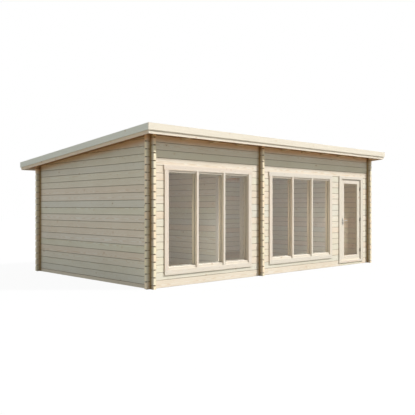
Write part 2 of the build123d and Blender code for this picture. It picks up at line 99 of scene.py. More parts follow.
class NodeSheet:
    """Adds linked nodes to one node tree."""

    def __init__(self, tree: bpy.types.NodeTree) -> None:
        """Keep the tree of a material or of a node group."""
        self.tree = tree

    def own(self, kind: str) -> Node:
        """Find the tree's first node of a type."""
        return next(node for node in self.tree.nodes if kind in node.type)

    def link(self, socket: Socket, value: object) -> None:
        """Link an input to an output, or set its own value.

        Args:
            socket: The input.
            value: An output socket, or a plain value.
        """
        if isinstance(value, Socket):
            self.tree.links.new(value, socket)
        else:
            socket.default_value = value

    def add(self, kind: str, *values: object, **settings: object) -> Node:
        """Add one node.

        Args:
            kind: The node's class name.
            values: What its first inputs take, in order.
            settings: Properties set on the node itself.

        Returns:
            The new node.
        """
        node = self.tree.nodes.new(kind)
        for name, value in settings.items():
            setattr(node, name, value)
        for socket, value in zip(node.inputs, values):
            self.link(socket, value)
        return node

    def feed(self, node: Node, **values: object) -> Node:
        """Feed a node's inputs.

        Args:
            node: The node.
            values: What its inputs take, by name, with _ for a space.

        Returns:
            The same node.
        """
        for name, value in values.items():
            self.link(node.inputs[name.replace("_", " ")], value)
        return node

    def place(self, tree: bpy.types.NodeTree, **values: object) -> Node:
        """Place a node group and feed its named inputs."""
        return self.feed(self.add("ShaderNodeGroup", node_tree=tree), **values)

    def math(self, operation: str, *values: object) -> Socket:
        """Work out one number."""
        return self.add("ShaderNodeMath", *values, operation=operation).outputs[0]

    def plus(self, first: object, second: object) -> Socket:
        """Sum of two numbers."""
        return self.math("ADD", first, second)

    def minus(self, first: object, second: object) -> Socket:
        """Difference of two numbers."""
        return self.math("SUBTRACT", first, second)

    def times(self, first: object, second: object) -> Socket:
        """Product of two numbers."""
        return self.math("MULTIPLY", first, second)

    def vector(self, operation: str, *values: object) -> Socket:
        """Work out one vector, or one number where the sum gives a number."""
        node = self.add("ShaderNodeVectorMath", *values, operation=operation)
        return node.outputs["Value" if operation in ("LENGTH", "DOT_PRODUCT") else "Vector"]

    def join(self, *numbers: object) -> Socket:
        """Make a vector from three numbers."""
        return self.add("ShaderNodeCombineXYZ", *numbers).outputs[0]

    def parts(self, vector: object) -> tuple[Socket, ...]:
        """Split a vector into its three numbers."""
        return tuple(self.add("ShaderNodeSeparateXYZ", vector).outputs)

    def ramp(self, value: object, low: float, high: float, to: Pair = (0, 1)) -> Socket:
        """Ease a number from one end of a range to the other.

        Args:
            value: The number.
            low: Where the range starts; it may be above high, which turns it round.
            high: Where the range ends.
            to: The results at the two ends.

        Returns:
            The eased number.
        """
        node = self.add(
            "ShaderNodeMapRange", value, low, high, *to, interpolation_type="SMOOTHSTEP"
        )
        return node.outputs["Result"]

    def noise(self, vector: object, scale: float, detail: float = 2.0) -> Socket:
        """Soft noise between 0 and 1, in waves to the metre with finer waves added."""
        node = self.add("ShaderNodeTexNoise", noise_dimensions="3D")
        return self.feed(node, Vector=vector, Scale=scale, Detail=detail).outputs["Fac"]

    def luck(self, seed: object) -> Node:
        """A random number and colour for each seed."""
        return self.feed(self.add("ShaderNodeTexWhiteNoise", noise_dimensions="1D"), W=seed)

    def cells(self, vector: object, scale: object) -> Node:
        """A random colour and point for each cell of space."""
        node = self.add("ShaderNodeTexVoronoi", voronoi_dimensions="3D", feature="F1")
        return self.feed(node, Vector=vector, Scale=scale)

    def blend(self, share: object, first: object, second: object, kind: str = "MIX") -> Socket:
        """Blend two colours.

        Args:
            share: Share of the second one.
            first: First colour.
            second: Second colour.
            kind: How they are blended.

        Returns:
            The blended colour.
        """
        node = self.add("ShaderNodeMix", share, data_type="RGBA", blend_type=kind)
        colours = [socket for socket in node.inputs if socket.type == "RGBA"]
        for socket, colour in zip(colours, (first, second)):
            self.link(socket, colour)
        return next(socket for socket in node.outputs if socket.type == "RGBA")

    def tinted(self, share: object, colour: object, tint: object) -> Socket:
        """Multiply a share of a colour by a tint."""
        return self.blend(share, colour, tint, "MULTIPLY")

    def object_place(self) -> Socket:
        """Coordinates on the object, in metres."""
        return self.add("ShaderNodeTexCoord").outputs["Object"]

    def attribute(self, name: str, kind: str = "Vector") -> Socket:
        """Read one of the piece's own attributes."""
        return self.add("ShaderNodeAttribute", attribute_name=name).outputs[kind]

    def rays(self, *kinds: str) -> Socket:
        """Tell some rays from others.

        Args:
            kinds: Which rays, by the first word of what the light path node calls them.

        Returns:
            1 for a ray of any of these kinds, or 0.
        """
        light = self.add("ShaderNodeLightPath")
        found = [light.outputs[f"Is {kind} Ray"] for kind in kinds]
        return functools.reduce(functools.partial(self.math, "MAXIMUM"), found)

    def relief(self, shader: Node, height: object, depth: float) -> None:
        """Turn a height from 0 to 1, which stands for a depth in metres, into the normal."""
        bump = self.feed(self.add("ShaderNodeBump"), Distance=depth, Height=height)
        self.feed(shader, Normal=bump.outputs["Normal"])

    def show(self, share: object, first: Node, second: Node) -> None:
        """Show a mix of two shaders, with a share of the second one."""
        either = self.add("ShaderNodeMixShader", share, first.outputs[0], second.outputs[0])
        self.feed(self.own("OUTPUT"), Surface=either.outputs[0])


def new_group(
    name: str, takes: dict[str, str], gives: dict[str, str]
) -> tuple[NodeSheet, bpy.types.NodeOutputs, Node]:
    """Start a shader node group with named inputs and outputs.

    Args:
        name: The group's name.
        takes: Kind of each input by name.
        gives: Kind of each output by name.

    Returns:
        The group's sheet, what its inputs give, and the node that its outputs are fed to.
    """
    tree = bpy.data.node_groups.new(name, "ShaderNodeTree")
    for side, sockets in (("INPUT", takes), ("OUTPUT", gives)):
        for label, kind in sockets.items():
            tree.interface.new_socket(name=label, in_out=side, socket_type=f"NodeSocket{kind}")
    start = tree.nodes.new("NodeGroupInput")
    return NodeSheet(tree), start.outputs, tree.nodes.new("NodeGroupOutput")


@functools.cache
def wood_grain() -> bpy.types.NodeTree:
    """Year rings, knots and fibres of a softwood, solid right through the timber.

    The rings are shells round a pith whose place differs with Seed, and they wander along the
    grain and bulge round the knots. Knots are balls scattered one to a cell.

    Returns:
        The node group.
    """
    sheet, takes, end = new_group(
        "wood grain",
        {"Grain Space": "Vector"} | dict.fromkeys(("Seed", "Ring Width", "Knot Size"), "Float"),
        dict.fromkeys(("Late Wood", "Knot", "Halo", "Fibre", "Height"), "Float"),
    )
    cell = (0.42, 0.15, 0.11)
    squeeze = (cell[0] * 0.8, cell[1], cell[2] * 0.35)
    cells_with_knots, smallest_knot = 0.62, 0.35
    pith_across, pith_through, pith_depth = 0.16, 0.12, 0.02
    wander_waves, wander_depth = (0.9, 5.0, 5.0), 0.05
    log_taper, knot_bulge = 0.006, 0.012
    fibre_waves = (7.0, 190.0, 190.0)
    along_shift = (40.0, 0.0, 0.0)

    luck = sheet.luck(takes["Seed"]).outputs["Color"]
    luck_x, luck_y, luck_z = sheet.parts(luck)
    shift = sheet.vector("MULTIPLY", luck, along_shift)
    space = sheet.vector("ADD", takes["Grain Space"], shift)
    along, across, through = sheet.parts(space)

    cell_space = sheet.vector("DIVIDE", space, cell)
    knots = sheet.cells(cell_space, 1.0)
    away = sheet.vector("SUBTRACT", cell_space, knots.outputs["Position"])
    distance = sheet.vector("LENGTH", sheet.vector("MULTIPLY", away, squeeze))
    size_luck, there_luck, _ = sheet.parts(knots.outputs["Color"])
    size = sheet.times(takes["Knot Size"], sheet.ramp(size_luck, 0, 1, (smallest_knot, 1)))
    there = sheet.math("LESS_THAN", there_luck, cells_with_knots)
    share = sheet.math("DIVIDE", distance, size)
    knot = sheet.times(sheet.ramp(share, 1.0, 0.7), there)
    halo = sheet.times(sheet.ramp(share, 3.6, 0.8), there)

    wander_noise = sheet.noise(sheet.vector("MULTIPLY", space, wander_waves), 1.0)
    wander = sheet.times(sheet.minus(wander_noise, 0.5), wander_depth)
    from_pith = sheet.join(
        0.0,
        sheet.plus(across, sheet.times(sheet.minus(luck_x, 0.5), pith_across)),
        sheet.plus(through, sheet.plus(sheet.times(luck_y, pith_through), pith_depth)),
    )
    taper = sheet.times(along, sheet.times(luck_z, log_taper))
    bulge = sheet.times(halo, knot_bulge)
    rounded = sheet.plus(sheet.vector("LENGTH", from_pith), wander)
    reach = sheet.plus(rounded, sheet.plus(taper, bulge))
    turn = sheet.math("FRACT", sheet.math("DIVIDE", reach, takes["Ring Width"]))
    late = sheet.times(sheet.ramp(turn, 0.35, 0.88), sheet.ramp(turn, 1.0, 0.9))

    fibre = sheet.noise(sheet.vector("MULTIPLY", space, fibre_waves), 1.0, 3.0)
    relief = sheet.minus(fibre, sheet.times(late, 0.35))
    height = sheet.plus(relief, sheet.times(knot, 0.5))
    sheet.feed(end, Late_Wood=late, Knot=knot, Halo=halo, Fibre=fibre, Height=height)
    return sheet.tree


@functools.cache
def wood_colour() -> bpy.types.NodeTree:
    """Colour of planed softwood from its grain: pale wood, warmer rings, brown knots.

    Returns:
        The node group.
    """
    numbers = ("Late Wood", "Knot", "Halo", "Fibre", "Tint", "Spread", "Contrast")
    sheet, takes, end = new_group(
        "wood colour",
        dict.fromkeys(numbers, "Float") | {"Base": "Color"},
        {"Color": "Color", "Roughness": "Float"},
    )
    stops = (
        (0.0, (0.91, 0.97, 1.0, 1)),
        (0.28, (0.95, 1.0, 0.93, 1)),
        (0.5, (1.0, 1.0, 1.0, 1)),
        (0.75, (1.0, 0.93, 0.87, 1)),
        (1.0, (0.94, 1.0, 0.95, 1)),
    )
    tints = sheet.add("ShaderNodeValToRGB", takes["Tint"])
    ramp = tints.color_ramp
    while len(ramp.elements) < len(stops):
        ramp.elements.new(0.5)
    for element, (place, colour) in zip(ramp.elements, stops):
        element.position = place
        element.color = colour
    ring_brown, fibre_brown = (0.80, 0.62, 0.42, 1), (0.62, 0.46, 0.30, 1)
    knot_brown = srgb(132, 92, 58)
    fibre_most, halo_most, knot_most = 0.10, 0.35, 0.85
    colour = sheet.tinted(takes["Spread"], takes["Base"], tints.outputs["Color"])
    colour = sheet.tinted(sheet.times(takes["Late Wood"], takes["Contrast"]), colour, ring_brown)
    fibre_share = sheet.times(sheet.ramp(takes["Fibre"], 0.42, 0.75), fibre_most)
    colour = sheet.tinted(fibre_share, colour, fibre_brown)
    colour = sheet.tinted(sheet.times(takes["Halo"], halo_most), colour, ring_brown)
    colour = sheet.blend(sheet.times(takes["Knot"], knot_most), colour, knot_brown)
    rough = sheet.plus(sheet.times(takes["Fibre"], 0.22), 0.5)
    rough = sheet.minus(rough, sheet.times(takes["Knot"], 0.15))
    sheet.feed(end, Color=colour, Roughness=rough)
    return sheet.tree


@functools.cache
def speckle() -> bpy.types.NodeTree:
    """Fine grains of two sizes, for the mineral face of felt and for brushed metal's dust.

    Returns:
        The node group.
    """
    sheet, takes, end = new_group(
        "speckle",
        {"Place": "Vector", "Fine": "Float"},
        {"Grains": "Float", "Clouds": "Float"},
    )
    grey, _, _ = sheet.parts(sheet.cells(takes["Place"], takes["Fine"]).outputs["Color"])
    sheet.feed(end, Grains=grey, Clouds=sheet.noise(takes["Place"], 2.2, 4.0))
    return sheet.tree


@dataclass(frozen=True)
class Finish:
    """A finish, which makes one material."""

    name: str

    def material(self) -> Material:
        """Build the material round one Principled shader.

        Returns:
            The material.
        """
        material = bpy.data.materials.new(self.name)
        material.use_nodes = True
        sheet = NodeSheet(material.node_tree)
        self.fill(sheet, sheet.own("BSDF_PRINCIPLED"))
        return material

    def fill(self, sheet: NodeSheet, shader: Node) -> None:
        """Feed the shader, each finish in its own way."""
        raise NotImplementedError(self.name)


@dataclass(frozen=True)
class Softwood(Finish):
    """Planed or sawn spruce. With no run given, the piece's own grain attribute leads."""

    base: Colour
    run: Run | None = None
    tilt: float = 0.0
    seed: float = 0.0
    spread: float = 0.8
    contrast: float = 0.5
    ring_width: float = 0.0045
    knot_size: float = 0.011
    depth: float = 0.0006

    def grain_space(self, sheet: NodeSheet) -> tuple[object, object]:
        """Place the grain on the piece.

        Args:
            sheet: The material's node sheet.

        Returns:
            The grain's own space, and the seed of the timber.
        """
        if self.run is None:
            return sheet.attribute(GRAIN), sheet.attribute(TINT, "Fac")
        turned = sheet.add("ShaderNodeMapping", sheet.object_place(), vector_type="POINT")
        sheet.feed(turned, Rotation=(self.tilt, 0.0, 0.0))
        axes = sheet.parts(turned.outputs["Vector"])
        return sheet.join(*(axes[axis] for axis in self.run.value)), self.seed

    def ground(self, sheet: NodeSheet) -> object:
        """The wood's colour before its grain."""
        return self.base

    def fill(self, sheet: NodeSheet, shader: Node) -> None:
        """Feed the shader from the grain.

        Args:
            sheet: The material's node sheet.
            shader: The shader.
        """
        space, seed = self.grain_space(sheet)
        grain = sheet.place(
            wood_grain(),
            Grain_Space=space,
            Seed=seed,
            Ring_Width=self.ring_width,
            Knot_Size=self.knot_size,
        ).outputs
        colour = sheet.place(
            wood_colour(),
            Late_Wood=grain["Late Wood"],
            Knot=grain["Knot"],
            Halo=grain["Halo"],
            Fibre=grain["Fibre"],
            Tint=sheet.luck(seed).outputs["Value"],
            Spread=self.spread,
            Contrast=self.contrast,
            Base=self.ground(sheet),
        ).outputs
        sheet.feed(
            shader,
            Base_Color=colour["Color"],
            Roughness=colour["Roughness"],
            Specular_IOR_Level=0.25,
        )
        sheet.relief(shader, grain["Height"], self.depth)


@dataclass(frozen=True)
class RoofLine:
    """The deck's underside over the walls: its height at their front face, and its even fall."""

    height: float = 2.639
    fall: float = 0.342 / 3.98
    front_face: float = -2.0115

    def over(self, y: Numbers) -> Numbers:
        """Heights of the underside at places from front to back."""
        return self.height - self.fall * (np.asarray(y) - self.front_face)

    def where(self, z: Numbers) -> Numbers:
        """Places from front to back where the underside is at given heights."""
        return self.front_face + (self.height - z) / self.fall


@dataclass(frozen=True)
class LogWood(Softwood):
    """Machined wall logs, with painted shade in their joints, in corners and close under the deck.
    """

    end_grain: Colour = (1.15, 1.09, 0.96, 1.0)
    # Painted shade: brown darkening in the corners where walls cross.
    corner_shade: Colour = (0.45, 0.32, 0.15, 1.0)
    # Painted shade and warm bounce light close under the deck.
    eave_shade: Colour = (0.90, 0.62, 0.37, 1.0)
    # Painted shade deep in the joints, with some dirt.
    joint: Colour = (0.30, 0.23, 0.15, 1.0)
    cloud: Colour = (0.95, 0.935, 0.91, 1.0)
    # Heights under the deck where the painted eave shade starts and is full.
    eave_shade_from: float = 0.15
    eave_shade_to: float = 0.03
    roof: RoofLine = RoofLine()

    def ground(self, sheet: NodeSheet) -> Socket:
        """Paint shade on the wood by its marks and by its distance from the deck.

        Args:
            sheet: The material's node sheet.

        Returns:
            The wood's colour before its grain.
        """
        deep, end_face, corner_shaded = sheet.parts(sheet.attribute(MARKS))
        place = sheet.object_place()
        clouds = sheet.ramp(sheet.noise(place, 1.3, 3.0), 0.35, 0.75)
        colour = sheet.tinted(clouds, self.base, self.cloud)
        colour = sheet.tinted(end_face, colour, self.end_grain)
        # Painted shade in the corners where walls cross.
        colour = sheet.tinted(corner_shaded, colour, self.corner_shade)
        _, back, up = sheet.parts(place)
        fall = sheet.times(sheet.minus(back, self.roof.front_face), self.roof.fall)
        below = sheet.minus(self.roof.height, sheet.plus(up, fall))
        # Painted shade, warmer and darker, close under the deck.
        eave_shade_share = sheet.ramp(below, self.eave_shade_from, self.eave_shade_to, (0, 0.9))
        # Painted shade deep in the joints, with some dirt, over the painted eave shade.
        return sheet.tinted(deep, sheet.tinted(eave_shade_share, colour, self.eave_shade), self.joint)


@dataclass(frozen=True)
class ClearGlass(Finish):
    """Flat clear glass with faint wiping marks. Light falls through it without a shadow."""

    ior: float
    tint: Colour
    passing: Colour = (0.95, 0.97, 0.96, 1.0)

    def fill(self, sheet: NodeSheet, shader: Node) -> None:
        """Feed the shader, and let shadow and diffuse rays straight through.

        Args:
            sheet: The material's node sheet.
            shader: The shader.
        """
        upright = sheet.vector("MULTIPLY", sheet.object_place(), (1.0, 1.0, 0.35))
        rough = sheet.ramp(sheet.noise(upright, 5.0, 4.0), 0.55, 0.8, (0.0, 0.03))
        sheet.feed(shader, Base_Color=self.tint, Transmission_Weight=1.0)
        sheet.feed(shader, IOR=self.ior, Roughness=rough)
        through = sheet.feed(sheet.add("ShaderNodeBsdfTransparent"), Color=self.passing)
        sheet.show(sheet.rays("Shadow", "Diffuse"), shader, through)


@dataclass(frozen=True)
class BrushedMetal(Finish):
    """Satin steel with fine brush lines along one way and dust in its clouds."""

    colour: Colour
    stretch: Triple = (30.0, 900.0, 900.0)
    darkening: float = 0.72

    def fill(self, sheet: NodeSheet, shader: Node) -> None:
        """Feed the shader from the brush lines and the dust.

        Args:
            sheet: The material's node sheet.
            shader: The shader.
        """
        place = sheet.object_place()
        lines = sheet.noise(sheet.vector("MULTIPLY", place, self.stretch), 1.0, 2.0)
        dust = sheet.place(speckle(), Place=place, Fine=900.0).outputs["Clouds"]
        dark = (*(self.darkening * part for part in self.colour[:3]), 1.0)
        colour = sheet.blend(sheet.times(dust, lines), self.colour, dark)
        rough = sheet.ramp(lines, 0.2, 0.8, (0.24, 0.42))
        sheet.feed(shader, Metallic=1.0, Base_Color=colour, Roughness=rough)
        sheet.relief(shader, lines, 0.00006)


@dataclass(frozen=True)
class MineralFelt(Finish):
    """Roofing felt with a face of slate grains."""

    dark: Colour = srgb(66, 70, 70)
    light: Colour = srgb(122, 126, 122)

    def fill(self, sheet: NodeSheet, shader: Node) -> None:
        """Feed the shader from the grains and their clouds.

        Args:
            sheet: The material's node sheet.
            shader: The shader.
        """
        dots = sheet.place(speckle(), Place=sheet.object_place(), Fine=520.0).outputs
        share = sheet.plus(sheet.times(dots["Grains"], 0.6), sheet.times(dots["Clouds"], 0.4))
        rough = sheet.ramp(dots["Grains"], 0, 1, (0.82, 0.95))
        colour = sheet.blend(share, self.dark, self.light)
        sheet.feed(shader, Base_Color=colour, Roughness=rough)
        sheet.relief(shader, dots["Grains"], 0.0012)


@dataclass(frozen=True)
class SoftRubber(Finish):
    """Matt rubber of glazing and door seals."""

    colour: Colour = srgb(58, 54, 50)
    paling: float = 1.9

    def fill(self, sheet: NodeSheet, shader: Node) -> None:
        """Feed the shader from a fine dust.

        Args:
            sheet: The material's node sheet.
            shader: The shader.
        """
        dust = sheet.noise(sheet.object_place(), 60.0, 3.0)
        pale = (*(min(1.0, self.paling * part) for part in self.colour[:3]), 1.0)
        rough = sheet.ramp(dust, 0.3, 0.8, (0.55, 0.8))
        sheet.feed(shader, Base_Color=sheet.blend(dust, self.colour, pale), Roughness=rough)
        sheet.relief(shader, dust, 0.0002)


@dataclass(frozen=True)
class PaleFloor(Finish):
    """The studio floor: pale, nearly white as it is seen, and it throws little light back."""

    given_back: Colour = (0.33, 0.32, 0.29, 1.0)
    shown: Colour = (0.74, 0.74, 0.74, 1.0)
    white_share: float = 0.94

    def fill(self, sheet: NodeSheet, shader: Node) -> None:
        """Feed the shader, and show it nearly white, straight, mirrored or through glass.

        Args:
            sheet: The material's node sheet.
            shader: The shader.
        """
        seen = sheet.rays(*SEEN)
        colour = sheet.blend(seen, self.given_back, self.shown)
        sheet.feed(shader, Base_Color=colour, Roughness=0.9, Specular_IOR_Level=0.0)
        white = sheet.add("ShaderNodeEmission")
        sheet.show(sheet.times(seen, self.white_share), shader, white)


def put(
    name: str, data: bpy.types.ID, place: Triple = (0, 0, 0), turn: Triple = (0, 0, 0)
) -> bpy.types.Object:
    """Put a thing into the scene.

    Args:
        name: Its name.
        data: Its mesh, lamp or camera.
        place: Where it stands.
        turn: How it is turned, as angles about X, Y and Z.

    Returns:
        The new object.
    """
    thing = bpy.data.objects.new(name, data)
    thing.location = place
    thing.rotation_euler = turn
    bpy.context.scene.collection.objects.link(thing)
    return thing


@dataclass
class Surfaces:
    """Surfaces gathered for one mesh, with the grain, tint and marks of each timber."""

    seed: int = 0
    vertices: list[Numbers] = field(default_factory=list)
    faces: list[list[int]] = field(default_factory=list)
    grain: list[Numbers] = field(default_factory=list)
    tint: list[Numbers] = field(default_factory=list)
    marks: list[Numbers] = field(default_factory=list)
    smooth: list[bool] = field(default_factory=list)
    count: int = 0

    def __post_init__(self) -> None:
        """Seed the tints."""
        self.luck = np.random.default_rng(self.seed)

    def loft(
        self,
        points: Numbers,
        order: Axes = (0, 1, 2),
        closed: bool = False,
        smooth: bool = False,
        marks: Numbers | None = None,
    ) -> None:
        """Join rings of points into solids, one solid for each row.

        Formula: neighbours on a ring and on the next ring make a four-sided face, and the first
        and last rings are closed by themselves. A solid's volume is the sum of the signed
        volumes between its middle and its faces; where it is below zero its rings are turned.

        Args:
            points: Points as solids by rings by points of a ring by three.
            order: The axes along, across and through the grain.
            closed: Whether the last ring joins the first one instead of both being closed.
            smooth: Whether the solids are shaded as one round surface.
            marks: Shares of each point for painted shade in the joint, end grain and painted shade
                in the corners.
        """
        points = np.asarray(points, float)
        count, rings, ring, _ = points.shape
        size = rings * ring
        middle = (points.min((1, 2), keepdims=True) + points.max((1, 2), keepdims=True)) / 2
        place = np.arange(size).reshape(rings, ring)
        near, far = (place, np.roll(place, -1, 0)) if closed else (place[:-1], place[1:])
        sides = np.stack((near, np.roll(near, -1, 1), np.roll(far, -1, 1), far), -1).reshape(-1, 4)
        caps = np.stack((place[0, ::-1], place[-1]))
        local = (points - middle).reshape(count, -1, 3)
        first = (self.count + np.arange(count) * size)[:, None, None]
        volume = np.zeros(count)
        for corners in (sides,) if closed else (sides, caps):
            fan = local[:, corners]
            crossed = np.cross(fan[:, :, 1:-1], fan[:, :, 2:])
            volume += np.einsum("sfx,sfnx->s", fan[:, :, 0], crossed)
            added = (corners[None] + first).reshape(-1, corners.shape[1]).tolist()
            self.faces += added
            self.smooth += [smooth] * len(added)
        turned = (volume < 0)[:, None, None, None]
        marks = np.zeros_like(points) if marks is None else marks
        points, marks = (np.where(turned, each[:, :, ::-1], each) for each in (points, marks))
        self.vertices.append(points.reshape(-1, 3))
        self.grain.append((points - middle)[..., list(order)].reshape(-1, 3))
        self.tint.append(np.repeat(self.luck.random(count), size))
        self.marks.append(marks.reshape(-1, 3))
        self.count += count * size

    def carry(
        self, sections: Numbers, starts: Numbers, stops: Numbers, run: Run, at: Axes = ()
    ) -> None:
        """Carry flat sections straight along an axis and close both ends.

        Formula: a corner is its section's corner, joined by the start or the stop along the run.

        Args:
            sections: Corners of one section, one a row, or of several.
            starts: Where each one starts along the run.
            stops: Where each one stops.
            run: Which way they run.
            at: The axes of the sections' two columns, if not across and through the grain.
        """
        sections = np.asarray(sections, float)
        sections = sections.reshape(-1, *sections.shape[-2:])
        count, corners, _ = sections.shape
        points = np.zeros((count, 2, corners, 3))
        points[..., list(at or run.value[1:])] = sections[:, None]
        for ring, reach in enumerate((starts, stops)):
            points[:, ring, :, run.value[0]] = np.broadcast_to(reach, count)[:, None]
        self.loft(points, run.value)

    def boards(self, spans: Numbers, run: Run, ease: float) -> None:
        """Boards with all their edges eased.

        Formula: the section is a rectangle whose corners are quarter rounds about four centres,
        carried along the grain, and the rounds' radius and the section shrink at both ends.

        Args:
            spans: Where each board starts and stops along X, along Y and along Z.
            run: Which way they run.
            ease: Radius of the eased edges.
        """
        lows, highs = np.moveaxis(np.asarray(spans, float).reshape(-1, 3, 2), 2, 0)
        along, across, through = run.value
        quarter = np.radians((0.0, 45.0, 90.0))
        angles = (np.radians((0.0, 90.0, 180.0, 270.0))[:, None] + quarter).ravel()
        signs = np.repeat(np.array(((1, 1), (-1, 1), (-1, -1), (1, -1))), len(quarter), 0)
        radius = ease * np.array((0.5, 0.866, 1.0, 1.0, 0.866, 0.5))
        inwards = ease * np.array((0.0, 0.5, 1.0, -1.0, -0.5, 0.0))
        half = ((highs - lows) / 2 - ease)[..., None, None]
        middle = ((highs + lows) / 2)[..., None, None]
        points = np.zeros((len(lows), len(radius), len(angles), 3))
        for axis, sign, wave in zip((across, through), signs.T, (np.cos(angles), np.sin(angles))):
            centre = middle[:, axis] + sign * half[:, axis]
            points[..., axis] = centre + radius[:, None] * wave
        ends = np.repeat(np.stack((lows[:, along], highs[:, along]), 1), 3, axis=1)
        points[..., along] = (ends + inwards)[:, :, None]
        self.loft(points, run.value)

    def portal(self, low: Numbers, high: Numbers, widths: Pair, run: Run, ease: float) -> None:
        """A board up each side of an opening, and one over both of them.

        Args:
            low: Low corner of all three.
            high: High corner of all three.
            widths: Width of the upright boards and height of the upper one.
            run: Which way the upper one runs.
            ease: Radius of the eased edges.
        """
        side, head = widths[0], high[2] - widths[1]
        left, right, upper = (np.stack((low, high), 1) for _ in range(3))
        left[2, 1] = right[2, 1] = head - HAIRLINE
        left[run.value[0], 1] = low[run.value[0]] + side
        right[run.value[0], 0] = high[run.value[0]] - side
        upper[2, 0] = head
        self.boards((left, right), Run.UPRIGHT, ease)
        self.boards(upper, run, ease)

    def rims(self, panes: Numbers, section: Profile, face: float, outwards: int) -> None:
        """Carry a small section round upright rectangles, mitred at their corners.

        Formula: each corner of the section lies its first size inside the rectangle and its
        second size off the face, on the line that halves the rectangle's corner.

        Args:
            panes: Low and high X and Z of each rectangle.
            section: Sizes inwards and outwards, one corner a row.
            face: The Y of the face that the section stands on.
            outwards: 1 where outwards is +Y, or -1.
        """
        section = np.asarray(section, float)
        pick = np.array(((0, 0), (1, 0), (1, 1), (0, 1)))
        points = np.zeros((len(panes), len(pick), len(section), 3))
        for axis, column in ((0, 0), (2, 1)):
            corner = panes[:, pick[:, column], column]
            inward = 1 - 2 * pick[:, column]
            points[..., axis] = corner[..., None] + inward[:, None] * section[:, 0]
        points[..., 1] = face + outwards * section[:, 1]
        self.loft(points, (2, 0, 1), closed=True)

    def domes(self, centres: Numbers, axis: int, sign: int, size: Pair) -> None:
        """Low round heads of nails and screws.

        Formula: rings of a flattened half ball, with radius by the cosine and rise by the sine
        of the same angle, closed by its top and its flat foot.

        Args:
            centres: Middle of each head's foot.
            axis: The axis that they point along.
            sign: 1 or -1 for which way along it.
            size: Radius of the foot and height of the head.
        """
        radius, rise = size
        centres = np.asarray(centres, float).reshape(-1, 3)
        around = np.radians(np.arange(0.0, 360.0, 45.0))
        up = np.radians((0.0, 35.0, 65.0))[:, None]
        shape = np.zeros((len(up), len(around), 3))
        shape[..., (axis + 1) % 3] = radius * np.cos(up) * np.cos(around)
        shape[..., (axis + 2) % 3] = radius * np.cos(up) * np.sin(around)
        shape[..., axis] = sign * rise * np.sin(up)
        self.loft(centres[:, None, None] + shape[None], smooth=True)

    def rod(self, spine: Numbers, radii: Numbers) -> None:
        """A round or oval bar along a bent line that lies level.

        Formula: each ring stands square to the line, and its points are the line's side and
        upward directions times the ring's two radii, by the cosine and the sine.

        Args:
            spine: Points of the line, one a row.
            radii: Sideways and upward radius at each point.
        """
        spine = np.asarray(spine, float)
        radii = np.asarray(radii, float)[:, :, None, None]
        way = np.gradient(spine, axis=0)
        way /= np.linalg.norm(way, axis=1, keepdims=True)
        upward = np.array((0.0, 0.0, 1.0))
        side = np.cross(way, upward)[:, None]
        around = np.radians(np.arange(0.0, 360.0, 22.5))[None, :, None]
        round_part = radii[:, 0] * np.cos(around) * side + radii[:, 1] * np.sin(around) * upward
        self.loft((spine[:, None] + round_part)[None], smooth=True)

    def finish(self, name: str, material: Material, body: str, slot: str, node: str = "") -> None:
        """Make the mesh and put it on its body.

        Args:
            name: The piece's name.
            material: Its material.
            body: The body that it moves with.
            slot: The record's material slot; not used.
            node: The CAD node that it stands for, if any.
        """
        mesh = bpy.data.meshes.new(name)
        mesh.from_pydata(np.concatenate(self.vertices).tolist(), [], self.faces)
        mesh.polygons.foreach_set("use_smooth", np.array(self.smooth, bool))
        for label, kind, part, values in (
            (GRAIN, "FLOAT_VECTOR", "vector", self.grain),
            (TINT, "FLOAT", "value", self.tint),
            (MARKS, "FLOAT_VECTOR", "vector", self.marks),
        ):
            flat = np.concatenate(values).astype(np.float32).ravel()
            mesh.attributes.new(label, kind, "POINT").data.foreach_set(part, flat)
        mesh.materials.append(material)
        mesh.update()
        piece = put(name, mesh)
        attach(piece, body)
        if node:
            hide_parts(node)
        log.info("%s: %d vertices, %d faces", name, self.count, len(self.faces))


def drive(
    name: str, centres: Numbers, axis: int, sign: int, size: Pair, material: Material, rides: Rides
) -> None:
    """Make the heads of nails or screws, or caps like them, as a piece of their own.

    Args:
        name: The piece's name.
        centres: Middle of each head's foot.
        axis: The axis that they point along.
        sign: 1 or -1 for which way along it.
        size: Radius of the foot and height of the head.
        material: Their material.
        rides: The body that they move with, and their material slot.
    """
    heads = Surfaces()
    heads.domes(centres, axis, sign, size)
    heads.finish(name, material, *rides)


def eased(corners: Numbers, radii: Numbers) -> Numbers:
    """Round chosen corners of a closed outline.

    Formula: a corner gives way to three points of the curve that leaves one side and joins the
    other at the radius, each point a blend of the two joins and the corner itself.

    Args:
        corners: The outline's corners, one a row.
        radii: How far along its sides each corner is eased, 0 where it stays sharp.

    Returns:
        The new outline.
    """
    corners = np.asarray(corners, float)
    radii = np.asarray(radii, float)[:, None]
    back = np.roll(corners, 1, 0) - corners
    ahead = np.roll(corners, -1, 0) - corners
    join_back = corners + radii * back / np.linalg.norm(back, axis=1, keepdims=True)
    join_ahead = corners + radii * ahead / np.linalg.norm(ahead, axis=1, keepdims=True)
    bend = 0.25 * join_back + 0.5 * corners + 0.25 * join_ahead
    points = np.stack((join_back, bend, join_ahead), 1)
    kept = np.stack((radii > 0, np.ones_like(radii, bool), radii > 0), 1)[..., 0]
    return points[kept]


def dress(material: Material, *names: str) -> None:
    """Give CAD pieces a material.

    Args:
        material: Their material.
        names: The pieces.
    """
    for name in names:
        piece = frame["nodes"][name]
        if not piece.material_slots:
            piece.data.materials.append(material)
        for slot in piece.material_slots:
            slot.material = material
        log.info("%s: dressed in %s", name, material.name)


def corners_of(node: str) -> tuple[Numbers, Numbers]:
    """Low and high corner of a CAD piece."""
    low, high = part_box(node)
    return np.array(low), np.array(high)


def reach_of(nodes: list[str] | tuple[str, ...], run: Run) -> Numbers:
    """Where each of some CAD pieces starts and stops along a run."""
    return np.array([corners_of(node) for node in nodes])[..., run.value[0]]


